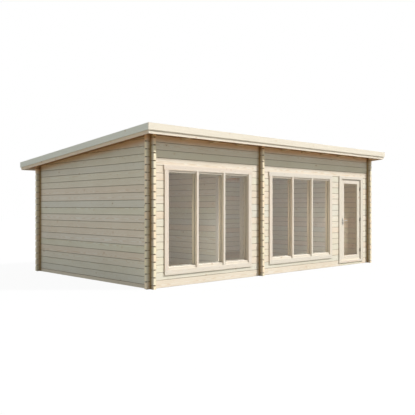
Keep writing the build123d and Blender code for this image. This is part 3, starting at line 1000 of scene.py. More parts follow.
@dataclass
class Finishes:
    """Every finish on the cabin that more than one piece shares, each made once."""

    wall: Colour = srgb(238, 231, 219)
    planed: Colour = srgb(232, 220, 202)
    joinery: Colour = srgb(232, 223, 213)
    fascia: Colour = srgb(238, 235, 224)
    # Painted shade: the deck boards are far darker and browner than the logs, for the shade under
    # the eaves.
    shaded_sheathing: Colour = srgb(156, 114, 72)
    walking: Colour = srgb(230, 218, 198)
    sawn: Colour = srgb(222, 194, 156)

    def __post_init__(self) -> None:
        """Make the finishes."""
        door = Softwood("door joinery", self.joinery, contrast=0.4, spread=0.5, seed=3.0)
        deck = Softwood(
            "sheathing boards", self.shaded_sheathing, contrast=0.6, spread=1.0, knot_size=0.013
        )
        floor = Softwood("floor boards", self.walking, contrast=0.6, knot_size=0.012)
        hinges = BrushedMetal("hinge steel", srgb(120, 110, 96), (700.0, 700.0, 60.0))
        self.logs = LogWood("wall logs", self.wall, contrast=0.45).material()
        self.boards = Softwood("joinery boards", self.joinery, contrast=0.35, spread=0.5).material()
        self.door_boards = door.material()
        self.sheathing_boards = deck.material()
        self.walking_boards = floor.material()
        self.glass = ClearGlass("window glass", 1.5, (0.96, 0.99, 1.0, 1.0)).material()
        # Painted light: the door glass's warm tint dims and browns the room seen through it, in
        # place of the warmer, dimmer light indoors.
        self.door_glass = ClearGlass("door glass", 1.38, (0.97, 0.88, 0.74, 1.0)).material()
        self.rubber = SoftRubber("soft rubber").material()
        self.handle_steel = BrushedMetal("handle steel", srgb(196, 192, 184)).material()
        self.hinge_steel = hinges.material()
        self.felt = MineralFelt("mineral felt").material()


@dataclass
class LogWalls:
    """The log walls: machined logs laid course on course, each with a V along its joints."""

    finishes: Finishes
    roof: RoofLine = RoofLine()
    course: float = 0.133
    bevel: float = 0.006
    slot: float = 0.0015
    slot_depth: float = 0.009
    end_bevel: float = 0.010
    end_depth: float = 0.022
    arris: float = 0.0015
    # How far from a crossing wall the painted corner shade reaches.
    corner_shade_reach: float = 0.080
    sliver: float = 0.001
    slack: float = 0.01

    def __post_init__(self) -> None:
        """Find where walls cross: X of the deep walls' faces, and Y of the long walls' faces."""
        crossed = {
            Run.LENGTHWISE: ("left_wall", "cross_wall_front", "right_wall"),
            Run.DEPTHWISE: ("front_base_logs", "back_wall"),
        }
        self.crossings = {run: reach_of(nodes, run) for run, nodes in crossed.items()}

    def corner_shade(self, run: Run, places: Numbers) -> Numbers:
        """How strongly painted shade falls on places along a log, by how near they are to the
        corner it makes with a crossing wall.

        Formula: 1 at the crossing wall, falling evenly to 0 at the painted shade's reach from it.

        Args:
            run: Which way the log runs.
            places: Places along it.

        Returns:
            A share for each place.
        """
        low, high = self.crossings[run].T[:, :, None]
        distance = np.maximum(low - places, places - high).clip(0.0).min(0)
        return (1.0 - distance / self.corner_shade_reach).clip(0.0)

    def build(self) -> None:
        """Lay the logs of each wall in place of its solids."""
        for start, run in (
            ("front_", Run.LENGTHWISE),
            ("back_wall", Run.LENGTHWISE),
            ("left_wall", Run.DEPTHWISE),
            ("right_wall", Run.DEPTHWISE),
            ("cross_wall", Run.DEPTHWISE),
        ):
            nodes = [name for name in frame["nodes"] if name.startswith(start)]
            ends = reach_of(nodes, run)
            for node in nodes:
                self.build_logs(node, run, (ends.min(), ends.max()))

    def section(self, bottom: float, top: float, faces: Pair) -> tuple[Numbers, Numbers]:
        """Outline of one log and how deep in a joint each corner lies.

        Formula: from each face a slope leads in to the joint, then a narrow slot, then the part
        where the logs bear on each other; the upper half mirrors the lower one.

        Args:
            bottom: Height of the joint below.
            top: Height of the joint above.
            faces: Outer and inner face.

        Returns:
            Corners as through and height, and their depths from 0 to 1.
        """
        inmost = self.bevel + self.slot_depth
        inwards = np.array((0.0, self.bevel, inmost, inmost))
        rise = np.array((self.bevel, self.slot, self.slot, 0.0))
        depth = np.array((0.0, 0.75, 1.0, 1.0))
        lower = np.stack((faces[0] + inwards, bottom + rise), 1)
        lower = np.concatenate((lower, np.stack((faces[1] - inwards, bottom + rise), 1)[::-1]))
        upper = np.stack((lower[::-1, 0], bottom + top - lower[::-1, 1]), 1)
        return np.concatenate((lower, upper)), np.concatenate((depth, depth[::-1]) * 2)

    def stations(self, run: Run, ends: Pair, heights: Pair) -> Numbers:
        """Places along a log where its section changes.

        Formula: both ends and their bevels, the crossing walls' faces and the reach of the painted
        corner shade beside them, and on a log that runs under the slope the places where the deck
        meets its joints and the edges of its slopes.

        Args:
            run: Which way the log runs.
            ends: Where it starts and stops.
            heights: Heights of its joints.

        Returns:
            The places in order.
        """
        start, stop = ends
        crossing = self.crossings[run]
        beside = crossing + np.array((-self.corner_shade_reach, self.corner_shade_reach))
        beside = np.concatenate((beside.ravel(), crossing.ravel()))
        inner = (start + self.end_depth, stop - self.end_depth)
        beside = beside[(beside > inner[0] + HAIRLINE) & (beside < inner[1] - HAIRLINE)]
        rims = (start + self.arris, stop - self.arris)
        places = np.unique(np.concatenate(((start, *rims, *inner, stop), beside)))
        if run is Run.LENGTHWISE:
            return places
        bottom, top = heights
        levels = np.array((bottom + self.sliver, bottom + self.bevel, top - self.bevel, top))
        cuts = self.roof.where(levels)
        places = np.concatenate((places, cuts[(cuts > start) & (cuts < stop)]))
        return np.unique(places[places <= max(cuts[0], start)])

    def build_logs(self, node: str, run: Run, wall_ends: Pair) -> None:
        """Lay the logs that stand for one solid.

        Formula: each log's section is carried along it; at an end that stands free the last two
        sections are held inside a smaller rectangle, so that a dark V runs in from the end at
        every joint, and no point stands above the deck or below the foot.

        Args:
            node: The solid's name.
            run: Which way its logs run.
            wall_ends: Where the whole wall starts and stops, which is where its ends stand free.
        """
        low, high = corners_of(node)
        along, _, through = run.value
        phase = 0.0 if run is Run.LENGTHWISE else self.course / 2
        first = math.floor((low[2] - phase) / self.course + self.slack)
        last = math.ceil((high[2] - phase) / self.course - self.slack)
        ends = (low[along], high[along])
        faces = (low[through], high[through])
        # Each wall has tints of its own, from its name, its first log and where it stops.
        logs = Surfaces(seed=len(node) + 7 * first + round(50 * (high[along] + 10)))
        for number in range(first, last):
            bottom, top = phase + number * self.course, phase + (number + 1) * self.course
            outline, depth = self.section(bottom, top, faces)
            places = self.stations(run, ends, (bottom, top))
            if len(places) < 2:
                continue
            points = np.zeros((1, len(places), len(outline), 3))
            points[..., along] = places[:, None]
            points[..., [through, 2]] = outline
            # The marks carry painted shade: by depth in the joint, and by nearness to a crossing
            # wall.
            marks = np.zeros_like(points)
            marks[..., 0] = depth
            marks[..., 2] = self.corner_shade(run, places)[:, None]
            for ring, rim, end, wall_end in zip((0, -1), (1, -2), ends, wall_ends):
                if max(abs(end - wall_end), abs(places[ring] - end)) < HAIRLINE:
                    held = (faces[0] + self.arris, faces[1] - self.arris)
                    points[0, ring, :, through] = points[0, ring, :, through].clip(*held)
                    held = (bottom + self.end_bevel, top - self.end_bevel)
                    for each in (ring, rim):
                        points[0, each, :, 2] = points[0, each, :, 2].clip(*held)
                    marks[0, ring, :, :2] = (0.0, 1.0)
            below = np.minimum(points[..., 2], self.roof.over(points[..., 1]))
            points[..., 2] = np.maximum(below, low[2])
            logs.loft(points, run.value, marks=marks)
        logs.finish(f"{node}_logs", self.finishes.logs, "cabin", "log_wood", node)


HIGH_SIDE, LOW_SIDE, BOTH_SIDES = (False, True), (True, False), (True, True)


@dataclass
class GlazedWork:
    """What the windows and the door share: sizes, and members grooved for their glass."""

    finishes: Finishes
    member: float = 0.045
    bite: float = 0.009
    play: float = 0.0003
    arris: float = 0.0015
    casing_ease: float = 0.0025
    inner_casing_width: float = 0.070
    screw_head: Pair = (0.0036, 0.0009)

    def read(self, wood: str, glass: str, cover: float = 0.0) -> None:
        """Read from the frame where the wood and its glass are.

        Args:
            wood: The CAD piece of the wood.
            glass: The CAD piece of the glass.
            cover: How far the wood's members lie behind its outer face.
        """
        self.low, self.high = corners_of(wood)
        self.glass_low, self.glass_high = corners_of(glass)
        self.faces = (self.low[1] + cover, self.high[1])

    def outline(
        self, low: float, high: float, grooved: tuple[bool, bool], slope: float = 0.0
    ) -> Numbers:
        """Outline of a member with grooves for glass.

        Formula: a rectangle, eased at its corners, with a square notch in each grooved side.

        Args:
            low: Low edge across the member.
            high: High edge across the member.
            grooved: Whether the low and the high edge are grooved.
            slope: How far the outer corner of the high edge falls towards the outer face.

        Returns:
            The outline's points.
        """
        outer, inner = self.faces
        start, stop = self.glass_low[1] - self.play, self.glass_high[1] + self.play
        depth = self.bite + self.play
        points = [(low, outer), (high - slope, outer)]
        if grooved[1]:
            points += [(high, start), (high - depth, start), (high - depth, stop), (high, stop)]
        points += [(high, inner), (low, inner)]
        if grooved[0]:
            points += [(low, stop), (low + depth, stop), (low + depth, start), (low, start)]
        points = np.array(points)
        return eased(points, np.where(np.isin(points[:, 1], self.faces), self.arris, 0.0))

    def screws(self, name: str, places: list[Pair], face: float) -> None:
        """Drive the screws of an outer casing.

        Args:
            name: The piece's name.
            places: X and Z of each screw.
            face: The Y of the casing's face.
        """
        centres = [(x, face, z) for x, z in places]
        rides = ("cabin", "hinge_metal")
        drive(name, centres, 1, -1, self.screw_head, self.finishes.hinge_steel, rides)


@dataclass
class WindowUnit(GlazedWork):
    """One fixed window with three panes: frame, seals, beads and casings."""

    side: str = "left"
    mullion: float = 0.050
    middle_pane: float = 0.645
    sill_drop: float = 0.010
    casing_width: float = 0.090
    casing_thick: float = 0.020
    ear: float = 0.015
    screw_inset: float = 0.06
    screw_rows: int = 5
    screw_columns: int = 6
    seal: Profile = ((0, 0), (0.0035, 0), (0.0035, 0.0012), (0.0015, 0.003), (0, 0.003))
    bead: Profile = ((0, 0), (0.013, 0), (0.013, 0.004), (0.009, 0.011), (0.003, 0.014), (0, 0.014))

    def __post_init__(self) -> None:
        """Read the window's places from the frame."""
        self.number = ("left", "right").index(self.side)
        self.read(f"window_frame_{self.side}", f"window_glass_{self.side}", self.casing_thick)
        self.casing_low, self.casing_high = corners_of(f"window_casing_{self.side}")
        self.casing_foot = self.casing_low[2] + self.casing_width
        self.casing_head = self.casing_high[2] - self.casing_width
        self.upright = (self.casing_foot + HAIRLINE, self.casing_head - HAIRLINE)
        self.sill = self.glass_low[2] + self.bite
        self.head = self.glass_high[2] - self.bite
        left, right = self.low[0] + self.member, self.high[0] - self.member
        side_pane = (right - left - self.middle_pane - 2 * self.mullion) / 2
        first, last = left + side_pane, right - side_pane
        self.posts = np.array(((first, first + self.mullion), (last - self.mullion, last)))
        edges = np.array((left, *self.posts.ravel(), right)).reshape(3, 2)
        self.panes = np.stack((edges, np.broadcast_to((self.sill, self.head), (3, 2))), -1)
        self.clear = (left, right)

    def build(self) -> None:
        """Build all that the window is made of."""
        self.build_frame()
        self.build_trim()
        self.build_casings()
        dress(self.finishes.glass, f"window_glass_{self.side}")

    def build_frame(self) -> None:
        """Jambs and mullions between a head and a sloped sill, grooved for the glass.

        Each mullion has a cover in front that stands level with the casings.
        """
        left, right = self.clear
        bottom, top = self.low[2], self.high[2]
        parts = Surfaces(seed=11 + self.number)
        parts.carry(self.outline(self.low[0], left, HIGH_SIDE), bottom, top, Run.UPRIGHT)
        parts.carry(self.outline(right, self.high[0], LOW_SIDE), bottom, top, Run.UPRIGHT)
        posts = [self.outline(*post, BOTH_SIDES) for post in self.posts]
        parts.carry(posts, self.sill - self.sill_drop, self.head, Run.UPRIGHT)
        covers = [(post, (self.low[1], self.faces[0]), self.upright) for post in self.posts]
        parts.boards(covers, Run.UPRIGHT, self.casing_ease)
        sill = self.outline(bottom, self.sill, HIGH_SIDE, self.sill_drop)
        parts.carry(sill, left, right, Run.LENGTHWISE)
        parts.carry(self.outline(self.head, top, LOW_SIDE), left, right, Run.LENGTHWISE)
        parts.finish(
            f"window_members_{self.side}",
            self.finishes.boards,
            "cabin",
            "frame_wood",
            f"window_frame_{self.side}",
        )

    def build_trim(self) -> None:
        """A thin dark seal on the glass outside, and glazing beads round each pane inside."""
        for name, seed, section, face, outwards, material in (
            ("seals", 0, self.seal, self.glass_low[1], -1, self.finishes.rubber),
            ("beads", 21, self.bead, self.glass_high[1], 1, self.finishes.boards),
        ):
            trim = Surfaces(seed=seed)
            trim.rims(self.panes, section, face, outwards)
            trim.finish(f"window_{name}_{self.side}", material, "cabin", "frame_wood")

    def build_casings(self) -> None:
        """Boards round the window outside, the top one with ears, and their screws."""
        (x0, face, foot), (x1, back, top) = self.casing_low, self.casing_high
        wide, y, z = self.casing_width, (face, back), self.upright
        left, right = x0 + self.ear, x1 - self.ear
        casing = Surfaces(seed=31 + self.number)
        uprights = (((left, left + wide), y, z), ((right - wide, right), y, z))
        over, under = (self.casing_head, top), (foot, self.casing_foot)
        levels = (((x0, x1), y, over), ((left, right), y, under))
        casing.boards(uprights, Run.UPRIGHT, self.casing_ease)
        casing.boards(levels, Run.LENGTHWISE, self.casing_ease)
        casing.finish(
            f"window_casing_boards_{self.side}",
            self.finishes.boards,
            "cabin",
            "casing_wood",
            f"window_casing_{self.side}",
        )
        inset = self.screw_inset
        rows = np.linspace(self.casing_foot + inset, self.casing_head - inset, self.screw_rows)
        columns = (left + wide / 2, right - wide / 2)
        places = [(x, z) for x in columns for z in rows]
        levels = (foot + wide / 2, top - wide / 2)
        across = np.linspace(*columns, self.screw_columns)
        places += [(x, z) for x in across for z in levels]
        self.screws(f"window_casing_screws_{self.side}", places, face)


def build_inner_casings(windows: list[WindowUnit], finishes: Finishes) -> None:
    """Boards round both windows on the inner face of the wall.

    Args:
        windows: The two windows.
        finishes: The cabin's finishes.
    """
    low, high = corners_of("inner_casings")
    casing, y = Surfaces(seed=41), (low[1], high[1])
    for window in windows:
        wide, ease = window.inner_casing_width, window.casing_ease
        (x0, _, foot), (x1, _, head) = window.low, window.high
        x, z = (x0 - wide, x1 + wide), (foot + HAIRLINE, head - HAIRLINE)
        casing.boards((((x0 - wide, x0), y, z), ((x1, x1 + wide), y, z)), Run.UPRIGHT, ease)
        levels = ((x, y, (foot - wide, foot)), (x, y, (head, head + wide)))
        casing.boards(levels, Run.LENGTHWISE, ease)
    casing.finish("inner_casing_boards", finishes.boards, "cabin", "casing_wood", "inner_casings")


@dataclass
class GlazedDoor(GlazedWork):
    """The door: frame, casings, leaf, glass and furniture."""

    stop: float = 0.012
    gap: float = 0.005
    seal: Pair = (0.007, 0.0035)
    seal_ease: float = 0.001
    stile: float = 0.113
    top_rail: float = 0.099
    bottom_rail: float = 0.104
    casing_width: float = 0.105
    head_width: float = 0.070
    screw_foot: float = 0.08
    screw_inset: float = 0.06
    screw_rows: int = 5
    screw_columns: int = 3
    bead: Profile = ((0, 0), (0.009, 0), (0.009, 0.004), (0.006, 0.011), (0.002, 0.014), (0, 0.014))
    lever_reach: float = 0.0065
    lever_height: float = 0.0078
    neck_bend: float = 0.014
    neck: tuple[float, ...] = (0.0, 0.0025, 0.003, 0.010, 0.018)
    rose_radius: float = 0.0125
    lock_drop: float = 0.052
    barrel_radius: float = 0.0085
    barrel_reach: Pair = (-0.001, 0.003)
    tongue_radius: float = 0.005
    tongue_drop: float = 0.0195
    keyway: Pair = (0.001, 0.0035)
    keyway_reach: Pair = (0.002, 0.0034)
    plate_screws: Pair = (0.010, 0.012)
    plate_screw_head: Pair = (0.0042, 0.0016)
    hinge_length: float = 0.080
    hinge_cap: Pair = (0.0062, 0.004)

    def __post_init__(self) -> None:
        """Read the door's places from the frame."""
        self.read("door_leaf", "door_glass")
        self.frame_low, self.frame_high = corners_of("door_frame")
        joints = {joint["name"]: np.array(joint["pos_m"]) for joint in frame["joints"]}
        self.hinge, self.spindle = joints["door_swing"], joints["lever_turn"]

    def build(self) -> None:
        """Build all that the door is made of."""
        self.build_frame()
        self.build_casings()
        self.build_leaf()
        self.build_lever()
        self.build_plate_fittings()
        self.build_hinge_caps()
        dress(self.finishes.door_glass, "door_glass")
        dress(self.finishes.handle_steel, "handle_plates")
        dress(self.finishes.hinge_steel, "hinge_knuckles", "hinge_leaves")

    def build_frame(self) -> None:
        """Jambs and a head, each with a stop behind the leaf, and a rubber seal on the stops."""
        low, high = self.frame_low, self.frame_high
        shoulder = self.high[1] + self.gap
        left, right = low[0] + self.member, high[0] - self.member
        head = high[2] - self.member

        def outline(outer: float, face: float, step: float) -> Numbers:
            """Outline of one member.

            Args:
                outer: Its outer edge.
                face: Its face towards the opening.
                step: How far the stop stands past that face.

            Returns:
                The outline's points.
            """
            across = (outer, face, face, face + step, face + step, outer)
            through = (low[1], low[1], shoulder, shoulder, high[1], high[1])
            radii = self.arris * np.array((0, 1, 0, 1, 1, 0))
            return eased(np.stack((across, through), 1), radii)

        members = Surfaces(seed=51)
        jambs = (outline(low[0], left, self.stop), outline(high[0], right, -self.stop))
        members.carry(jambs, low[2], high[2], Run.UPRIGHT)
        members.carry(outline(high[2], head, -self.stop), left, right, Run.LENGTHWISE)
        boards = self.finishes.boards
        members.finish("door_frame_members", boards, "cabin", "frame_wood", "door_frame")

        wide, thick = self.seal
        left, right, head = left + self.stop, right - self.stop, head - self.stop
        y, z = (shoulder - thick, shoulder), (low[2], head)
        jambs = (((left - wide, left), y, z), ((right, right + wide), y, z))
        over = ((left - wide, right + wide), y, (head, head + wide))
        strip = Surfaces()
        strip.boards((*jambs, over), Run.UPRIGHT, self.seal_ease)
        strip.finish("door_seal", self.finishes.rubber, "cabin", "frame_wood")

    def build_casings(self) -> None:
        """Casing boards outside and inside, and the outer ones' screws."""
        wide = self.casing_width
        outer = (wide - HAIRLINE, self.head_width)
        inner = (self.inner_casing_width, self.inner_casing_width)
        for seed, node, widths in ((61, "door_casing", outer), (62, "door_inner_casing", inner)):
            casing = Surfaces(seed=seed)
            casing.portal(*corners_of(node), widths, Run.LENGTHWISE, self.casing_ease)
            casing.finish(f"{node}_boards", self.finishes.boards, "cabin", "casing_wood", node)
            if node == "door_casing":
                low, high = corners_of(node)
                head = high[2] - self.head_width
                ends = (low[2] + self.screw_foot, head - self.screw_inset)
                rows = np.linspace(*ends, self.screw_rows)
                places = [(x, z) for x in (low[0] + wide / 2, high[0] - wide / 2) for z in rows]
                across = np.linspace(low[0] + wide, high[0] - wide, self.screw_columns)
                places += [(x, (head + high[2]) / 2) for x in across]
                self.screws("door_casing_screws", places, low[1])

    def build_leaf(self) -> None:
        """Two stiles with a rail between them at the top and at the bottom, and glazing beads."""
        low, high = self.low, self.high
        left, right = low[0] + self.stile, high[0] - self.stile
        foot, head = low[2] + self.bottom_rail, high[2] - self.top_rail
        material = self.finishes.door_boards
        leaf = Surfaces(seed=71)
        for start, stop, grooved in ((low[0], left, HIGH_SIDE), (right, high[0], LOW_SIDE)):
            leaf.carry(self.outline(start, stop, grooved), low[2], high[2], Run.UPRIGHT)
        for start, stop, grooved in ((low[2], foot, HIGH_SIDE), (head, high[2], LOW_SIDE)):
            leaf.carry(self.outline(start, stop, grooved), left, right, Run.LENGTHWISE)
        leaf.finish("door_leaf_members", material, "door", "door_wood", "door_leaf")
        pane = np.array((((left, foot), (right, head)),))
        beads = Surfaces(seed=72)
        for face, outwards in ((self.glass_low[1], -1), (self.glass_high[1], 1)):
            beads.rims(pane, self.bead, face, outwards)
        beads.finish("door_beads", material, "door", "door_wood")

    def build_lever(self) -> None:
        """A lever on each face: a rose, a neck that bends through a quarter turn, and a grip.

        Formula: the line runs out from the plate, round a quarter circle and along the leaf;
        its radii narrow from the rose to the neck and close by a quarter circle at the tip.
        """
        low, high = corners_of("door_lever")
        plates = [corner[1] for corner in corners_of("handle_plates")]
        height, bend = self.lever_height, self.neck_bend
        turn = np.radians(np.linspace(0, 90, 9))
        close = np.radians((15, 35, 55, 75, 86))
        rose = (self.rose_radius, self.rose_radius, height)
        levers = Surfaces()
        for face, grip, way in zip(plates, (low[1] + height, high[1] - height), (-1, 1)):
            out = face + way * np.array(self.neck)
            bent_x = self.spindle[0] + bend * (1 - np.cos(turn))
            bent_y = grip - way * bend * (1 - np.sin(turn))
            end_x = high[0] - height * (1 - np.sin(close))
            x = np.concatenate((np.full(len(out), self.spindle[0]), bent_x, end_x))
            y = np.concatenate((out, bent_y, np.full(len(close), grip)))
            spine = np.stack((x, y, np.full(len(x), self.spindle[2])), 1)
            grows = (len(out), len(out) + len(turn))
            thick = np.full(len(x), height)
            reach = np.interp(np.arange(len(x)), grows, (height, self.lever_reach))
            thick[:3] = reach[:3] = rose
            fade = np.ones(len(x))
            fade[-len(close):] = np.cos(close)
            levers.rod(spine, np.stack((reach * fade, thick * fade), 1))
        steel = self.finishes.handle_steel
        levers.finish("lever_handles", steel, "lever", "handle_metal", "door_lever")

    def build_plate_fittings(self) -> None:
        """The lock's barrel and its keyway, and the plates' screws, on both faces.

        Formula: the barrel's outline is a circle run out into a narrower rounded tongue.
        """
        low, high = corners_of("handle_plates")
        middle = (self.spindle[0], self.spindle[2] - self.lock_drop)
        head = np.radians(np.linspace(-50, 230, 13))
        foot = np.radians(np.linspace(190, 350, 7))
        round_part = self.barrel_radius * np.stack((np.cos(head), np.sin(head)), 1)
        tongue = self.tongue_radius * np.stack((np.cos(foot), np.sin(foot)), 1)
        barrel = np.concatenate((round_part, tongue - (0.0, self.tongue_drop))) + middle
        corners = np.array(((-1, -1), (1, -1), (1, 1), (-1, 1)))
        foot_screw, head_screw = low[2] + self.plate_screws[0], high[2] - self.plate_screws[1]
        pieces = {name: Surfaces() for name in ("lock_barrels", "lock_keyways", "plate_screws")}
        barrels, keyways, screws = pieces.values()
        for face, way in ((low[1], -1), (high[1], 1)):
            for parts, outline, reach in (
                (barrels, barrel, self.barrel_reach),
                (keyways, corners * self.keyway + middle, self.keyway_reach),
            ):
                near, far = sorted(face + way * step for step in reach)
                parts.carry(outline, near, far, Run.DEPTHWISE, (0, 2))
            heads = [(middle[0], face, z) for z in (foot_screw, head_screw)]
            screws.domes(heads, 1, way, self.plate_screw_head)
        steel, rubber = self.finishes.handle_steel, self.finishes.rubber
        for (name, parts), material in zip(pieces.items(), (steel, rubber, steel)):
            parts.finish(name, material, "door", "handle_metal")

    def build_hinge_caps(self) -> None:
        """Domed caps at both ends of each hinge pin."""
        low, _ = corners_of("hinge_knuckles")
        _, high = corners_of("hinge_leaves")
        length = self.hinge_length
        last = high[2] - length
        middle = (low[2] + high[2] - length) / 2
        feet = np.array([(*self.hinge[:2], foot) for foot in (low[2], middle, last)])
        for end, body, centres, sign in (
            ("lower", "cabin", feet, -1),
            ("upper", "door", feet + (0, 0, length), 1),
        ):
            steel, rides = self.finishes.hinge_steel, (body, "hinge_metal")
            drive(f"hinge_caps_{end}", centres, 2, sign, self.hinge_cap, steel, rides)


@dataclass
class Passage:
    """The lined way through the cross wall."""

    finishes: Finishes
    lining: float = 0.030
    sill_thick: float = 0.0515
    casing_width: float = 0.090
    casing_thick: float = 0.020
    ease: float = 0.002

    def build(self) -> None:
        """Build the lining and its casings."""
        (x0, y0, z0), (x1, y1, z1) = corners_of("passage_lining")
        sill, head, x = z0 + self.sill_thick, z1 - self.lining, (x0, x1)
        lining = Surfaces(seed=81)
        sides = (y0, y0 + self.lining), (y1 - self.lining, y1)
        lining.boards([(x, y, (sill, head)) for y in sides], Run.UPRIGHT, self.ease)
        levels = [(x, (y0, y1), z) for z in ((head, z1), (z0, sill))]
        lining.boards(levels, Run.DEPTHWISE, self.ease)
        boards = self.finishes.boards
        lining.finish("passage_lining_boards", boards, "cabin", "frame_wood", "passage_lining")

        (x0, *low), (x1, *high) = corners_of("passage_casings")
        casings = Surfaces(seed=82)
        for x in ((x0, x0 + self.casing_thick), (x1 - self.casing_thick, x1)):
            ends = np.array((x[0], *low)), np.array((x[1], *high))
            widths = (self.casing_width, self.casing_width)
            casings.portal(*ends, widths, Run.DEPTHWISE, self.ease)
        casings.finish("passage_casing_boards", boards, "cabin", "casing_wood", "passage_casings")


@dataclass
class BoardedFloor:
    """Floor boards on joists in both rooms."""

    finishes: Finishes
    cover: float = 0.120
    gap: float = 0.0012
    ease: float = 0.0015
    wall_play: float = 0.004

    def build(self) -> None:
        """Rows of boards along the cabin, side by side from front to back, room by room."""
        (x0, y0, z0), (x1, y1, z1) = corners_of("floor_boards")
        cross_low, cross_high = corners_of("cross_wall_step")
        edges = np.linspace(y0, y1, round((y1 - y0) / self.cover) + 1)
        near, far = edges[:-1] + self.gap / 2, edges[1:] - self.gap / 2
        boards = Surfaces(seed=91)
        for x in ((x0, cross_low[0] - self.wall_play), (cross_high[0] + self.wall_play, x1)):
            boards.boards([(x, y, (z0, z1)) for y in zip(near, far)], Run.LENGTHWISE, self.ease)
        walking = self.finishes.walking_boards
        boards.finish("floor_board_rows", walking, "cabin", "floor_boards", "floor_boards")
        joists = Softwood("sawn joists", self.finishes.sawn, Run.DEPTHWISE, seed=7.7, contrast=0.7)
        dress(joists.material(), "floor_joists")


@dataclass
class PentRoof:
    """The roof: boards with V joints below, felt with laps above, fascias and rafters."""

    finishes: Finishes
    deck_thick: float = 0.019
    board_cover: float = 0.088
    joint: float = 0.004
    tongue_gap: float = 0.001
    felt_thick: float = 0.003
    strip: float = 1.0
    lap: float = 0.08
    rafter_width: float = 0.045
    nail_head: Pair = (0.005, 0.0012)
    nail_step: float = 0.06
    nail_inset: Pair = (0.03, 0.025)

    def __post_init__(self) -> None:
        """Read the roof's places from the frame."""
        self.low, self.high = corners_of("roof_deck")
        drop = self.high[2] - self.low[2] - self.deck_thick
        fall = drop / (self.high[1] - self.low[1])
        self.line = RoofLine(self.high[2] - self.deck_thick, fall, self.low[1])

    def build(self) -> None:
        """Build all that the roof is made of."""
        self.build_deck()
        self.build_felt()
        self.dress_timbers()

    def build_deck(self) -> None:
        """Rows of tongued boards along the cabin, each row butted over a rafter.

        Formula: a row's outline is a thin rectangle with both lower edges cut at 45 degrees,
        and every corner is lifted to the slope of the roof.
        """
        rows = round((self.high[1] - self.low[1]) / self.board_cover)
        edges = np.linspace(self.low[1], self.high[1], rows + 1)
        cut, gap, thick = self.joint, self.tongue_gap / 2, self.deck_thick
        step = edges[1] - edges[0]
        across = np.array((gap + cut, step - gap - cut, step - gap, step - gap, gap, gap))
        rise = np.array((0.0, 0.0, cut, thick, thick, cut))
        y = edges[:-1, None] + across
        outline = np.stack((y, self.line.over(y) + rise), -1)
        luck = np.random.default_rng(101)
        rafter_low, rafter_high = corners_of("rafters")
        first = rafter_low[0] + self.rafter_width / 2
        last = rafter_high[0] - self.rafter_width / 2
        splits = first + (last - first) * luck.choice((0.0, 0.3, 0.5, 0.7, 1.0), rows)
        deck = Surfaces(seed=102)
        for start, stop in ((self.low[0], splits - gap), (splits + gap, self.high[0])):
            deck.carry(outline, start, stop, Run.LENGTHWISE, (1, 2))
        # The deck's dark brown is painted shade under the eaves.
        boards = self.finishes.sheathing_boards
        deck.finish("roof_board_rows", boards, "cabin", "deck_boards", "roof_deck")

    def build_felt(self) -> None:
        """Strips of felt along the cabin, each lapped over the one below it, and their nails.

        Formula: each strip is a thin band on the slope, and its upper face rises by one
        thickness over the lap with the strip behind it.
        """
        y0, y1 = self.low[1], self.high[1]
        edges = np.linspace(y0, y1, math.ceil((y1 - y0) / (self.strip - self.lap)) + 1)
        thick, base = self.felt_thick, self.deck_thick
        felt = Surfaces(seed=111)
        for start, stop in zip(edges[:-1], edges[1:]):
            end = min(stop + self.lap, y1)
            y = np.array((start, stop, end, end, stop, start))
            rise = np.array((0.0, 0.0, thick, 2 * thick, 2 * thick, thick)) + base
            if stop == y1:
                y, rise = y[[0, 1, 4, 5]], base + np.array((0.0, 0.0, thick, thick))
            outline = np.stack((y, self.line.over(y) + rise), -1)
            felt.carry(outline, self.low[0], self.high[0], Run.LENGTHWISE, (1, 2))
        felt.finish("felt_strips", self.finishes.felt, "cabin", "felt", "roof_felt")
        columns = np.arange(self.low[0] + self.nail_inset[0], self.high[0], self.nail_step)
        x, y = np.meshgrid(columns, edges[1:-1] + self.lap - self.nail_inset[1])
        centres = np.stack((x, y, self.line.over(y) + base + 2 * thick), -1)
        steel = self.finishes.hinge_steel
        drive("felt_nails", centres, 2, 1, self.nail_head, steel, ("cabin", "felt"))

    def dress_timbers(self) -> None:
        """Dress the fascias, their backing boards and the rafters where they are."""
        fascia, wall = self.finishes.fascia, self.finishes.wall
        planed, sawn = self.finishes.planed, self.finishes.sawn
        tilt, level, deep = math.atan(self.line.fall), Run.LENGTHWISE, Run.DEPTHWISE
        fronts = Softwood("front fascia", fascia, level, seed=1.9, contrast=0.3)
        sides = Softwood("side fascia", fascia, deep, tilt, seed=2.3, contrast=0.3)
        backing = Softwood("backing board", wall, level, seed=6.1, spread=0.2)
        sloped = Softwood("sloped backing board", planed, deep, tilt, seed=6.7)
        rafters = Softwood("sawn rafters", sawn, deep, tilt, seed=8.2, contrast=0.7)
        dress(fronts.material(), "fascia_front", "fascia_rear")
        dress(sides.material(), "fascia_left", "fascia_right")
        dress(backing.material(), "backing_front", "backing_rear")
        dress(sloped.material(), "backing_sides")
        dress(rafters.material(), "rafters")


@dataclass(frozen=True)
class SoftLamp:
    """A flat lamp along the front wall indoors, seen only where its light falls."""

    y: float
    z: float
    turn_deg: float
    strength: float
    colour: Triple
    deep: float = 0.9

    def build(self, name: str, reach: Pair) -> None:
        """Make one lamp of this kind.

        Args:
            name: The lamp's name.
            reach: Where it starts and stops along the wall.
        """
        data = bpy.data.lights.new(name, "AREA")
        data.shape = "RECTANGLE"
        data.size, data.size_y = reach[1] - reach[0], self.deep
        data.energy = self.strength * data.size * data.size_y
        data.color = self.colour
        place = (sum(reach) / 2, self.y, self.z)
        lamp = put(name, data, place, (math.radians(self.turn_deg), 0, 0))
        lamp.visible_camera = lamp.visible_glossy = lamp.visible_transmission = False


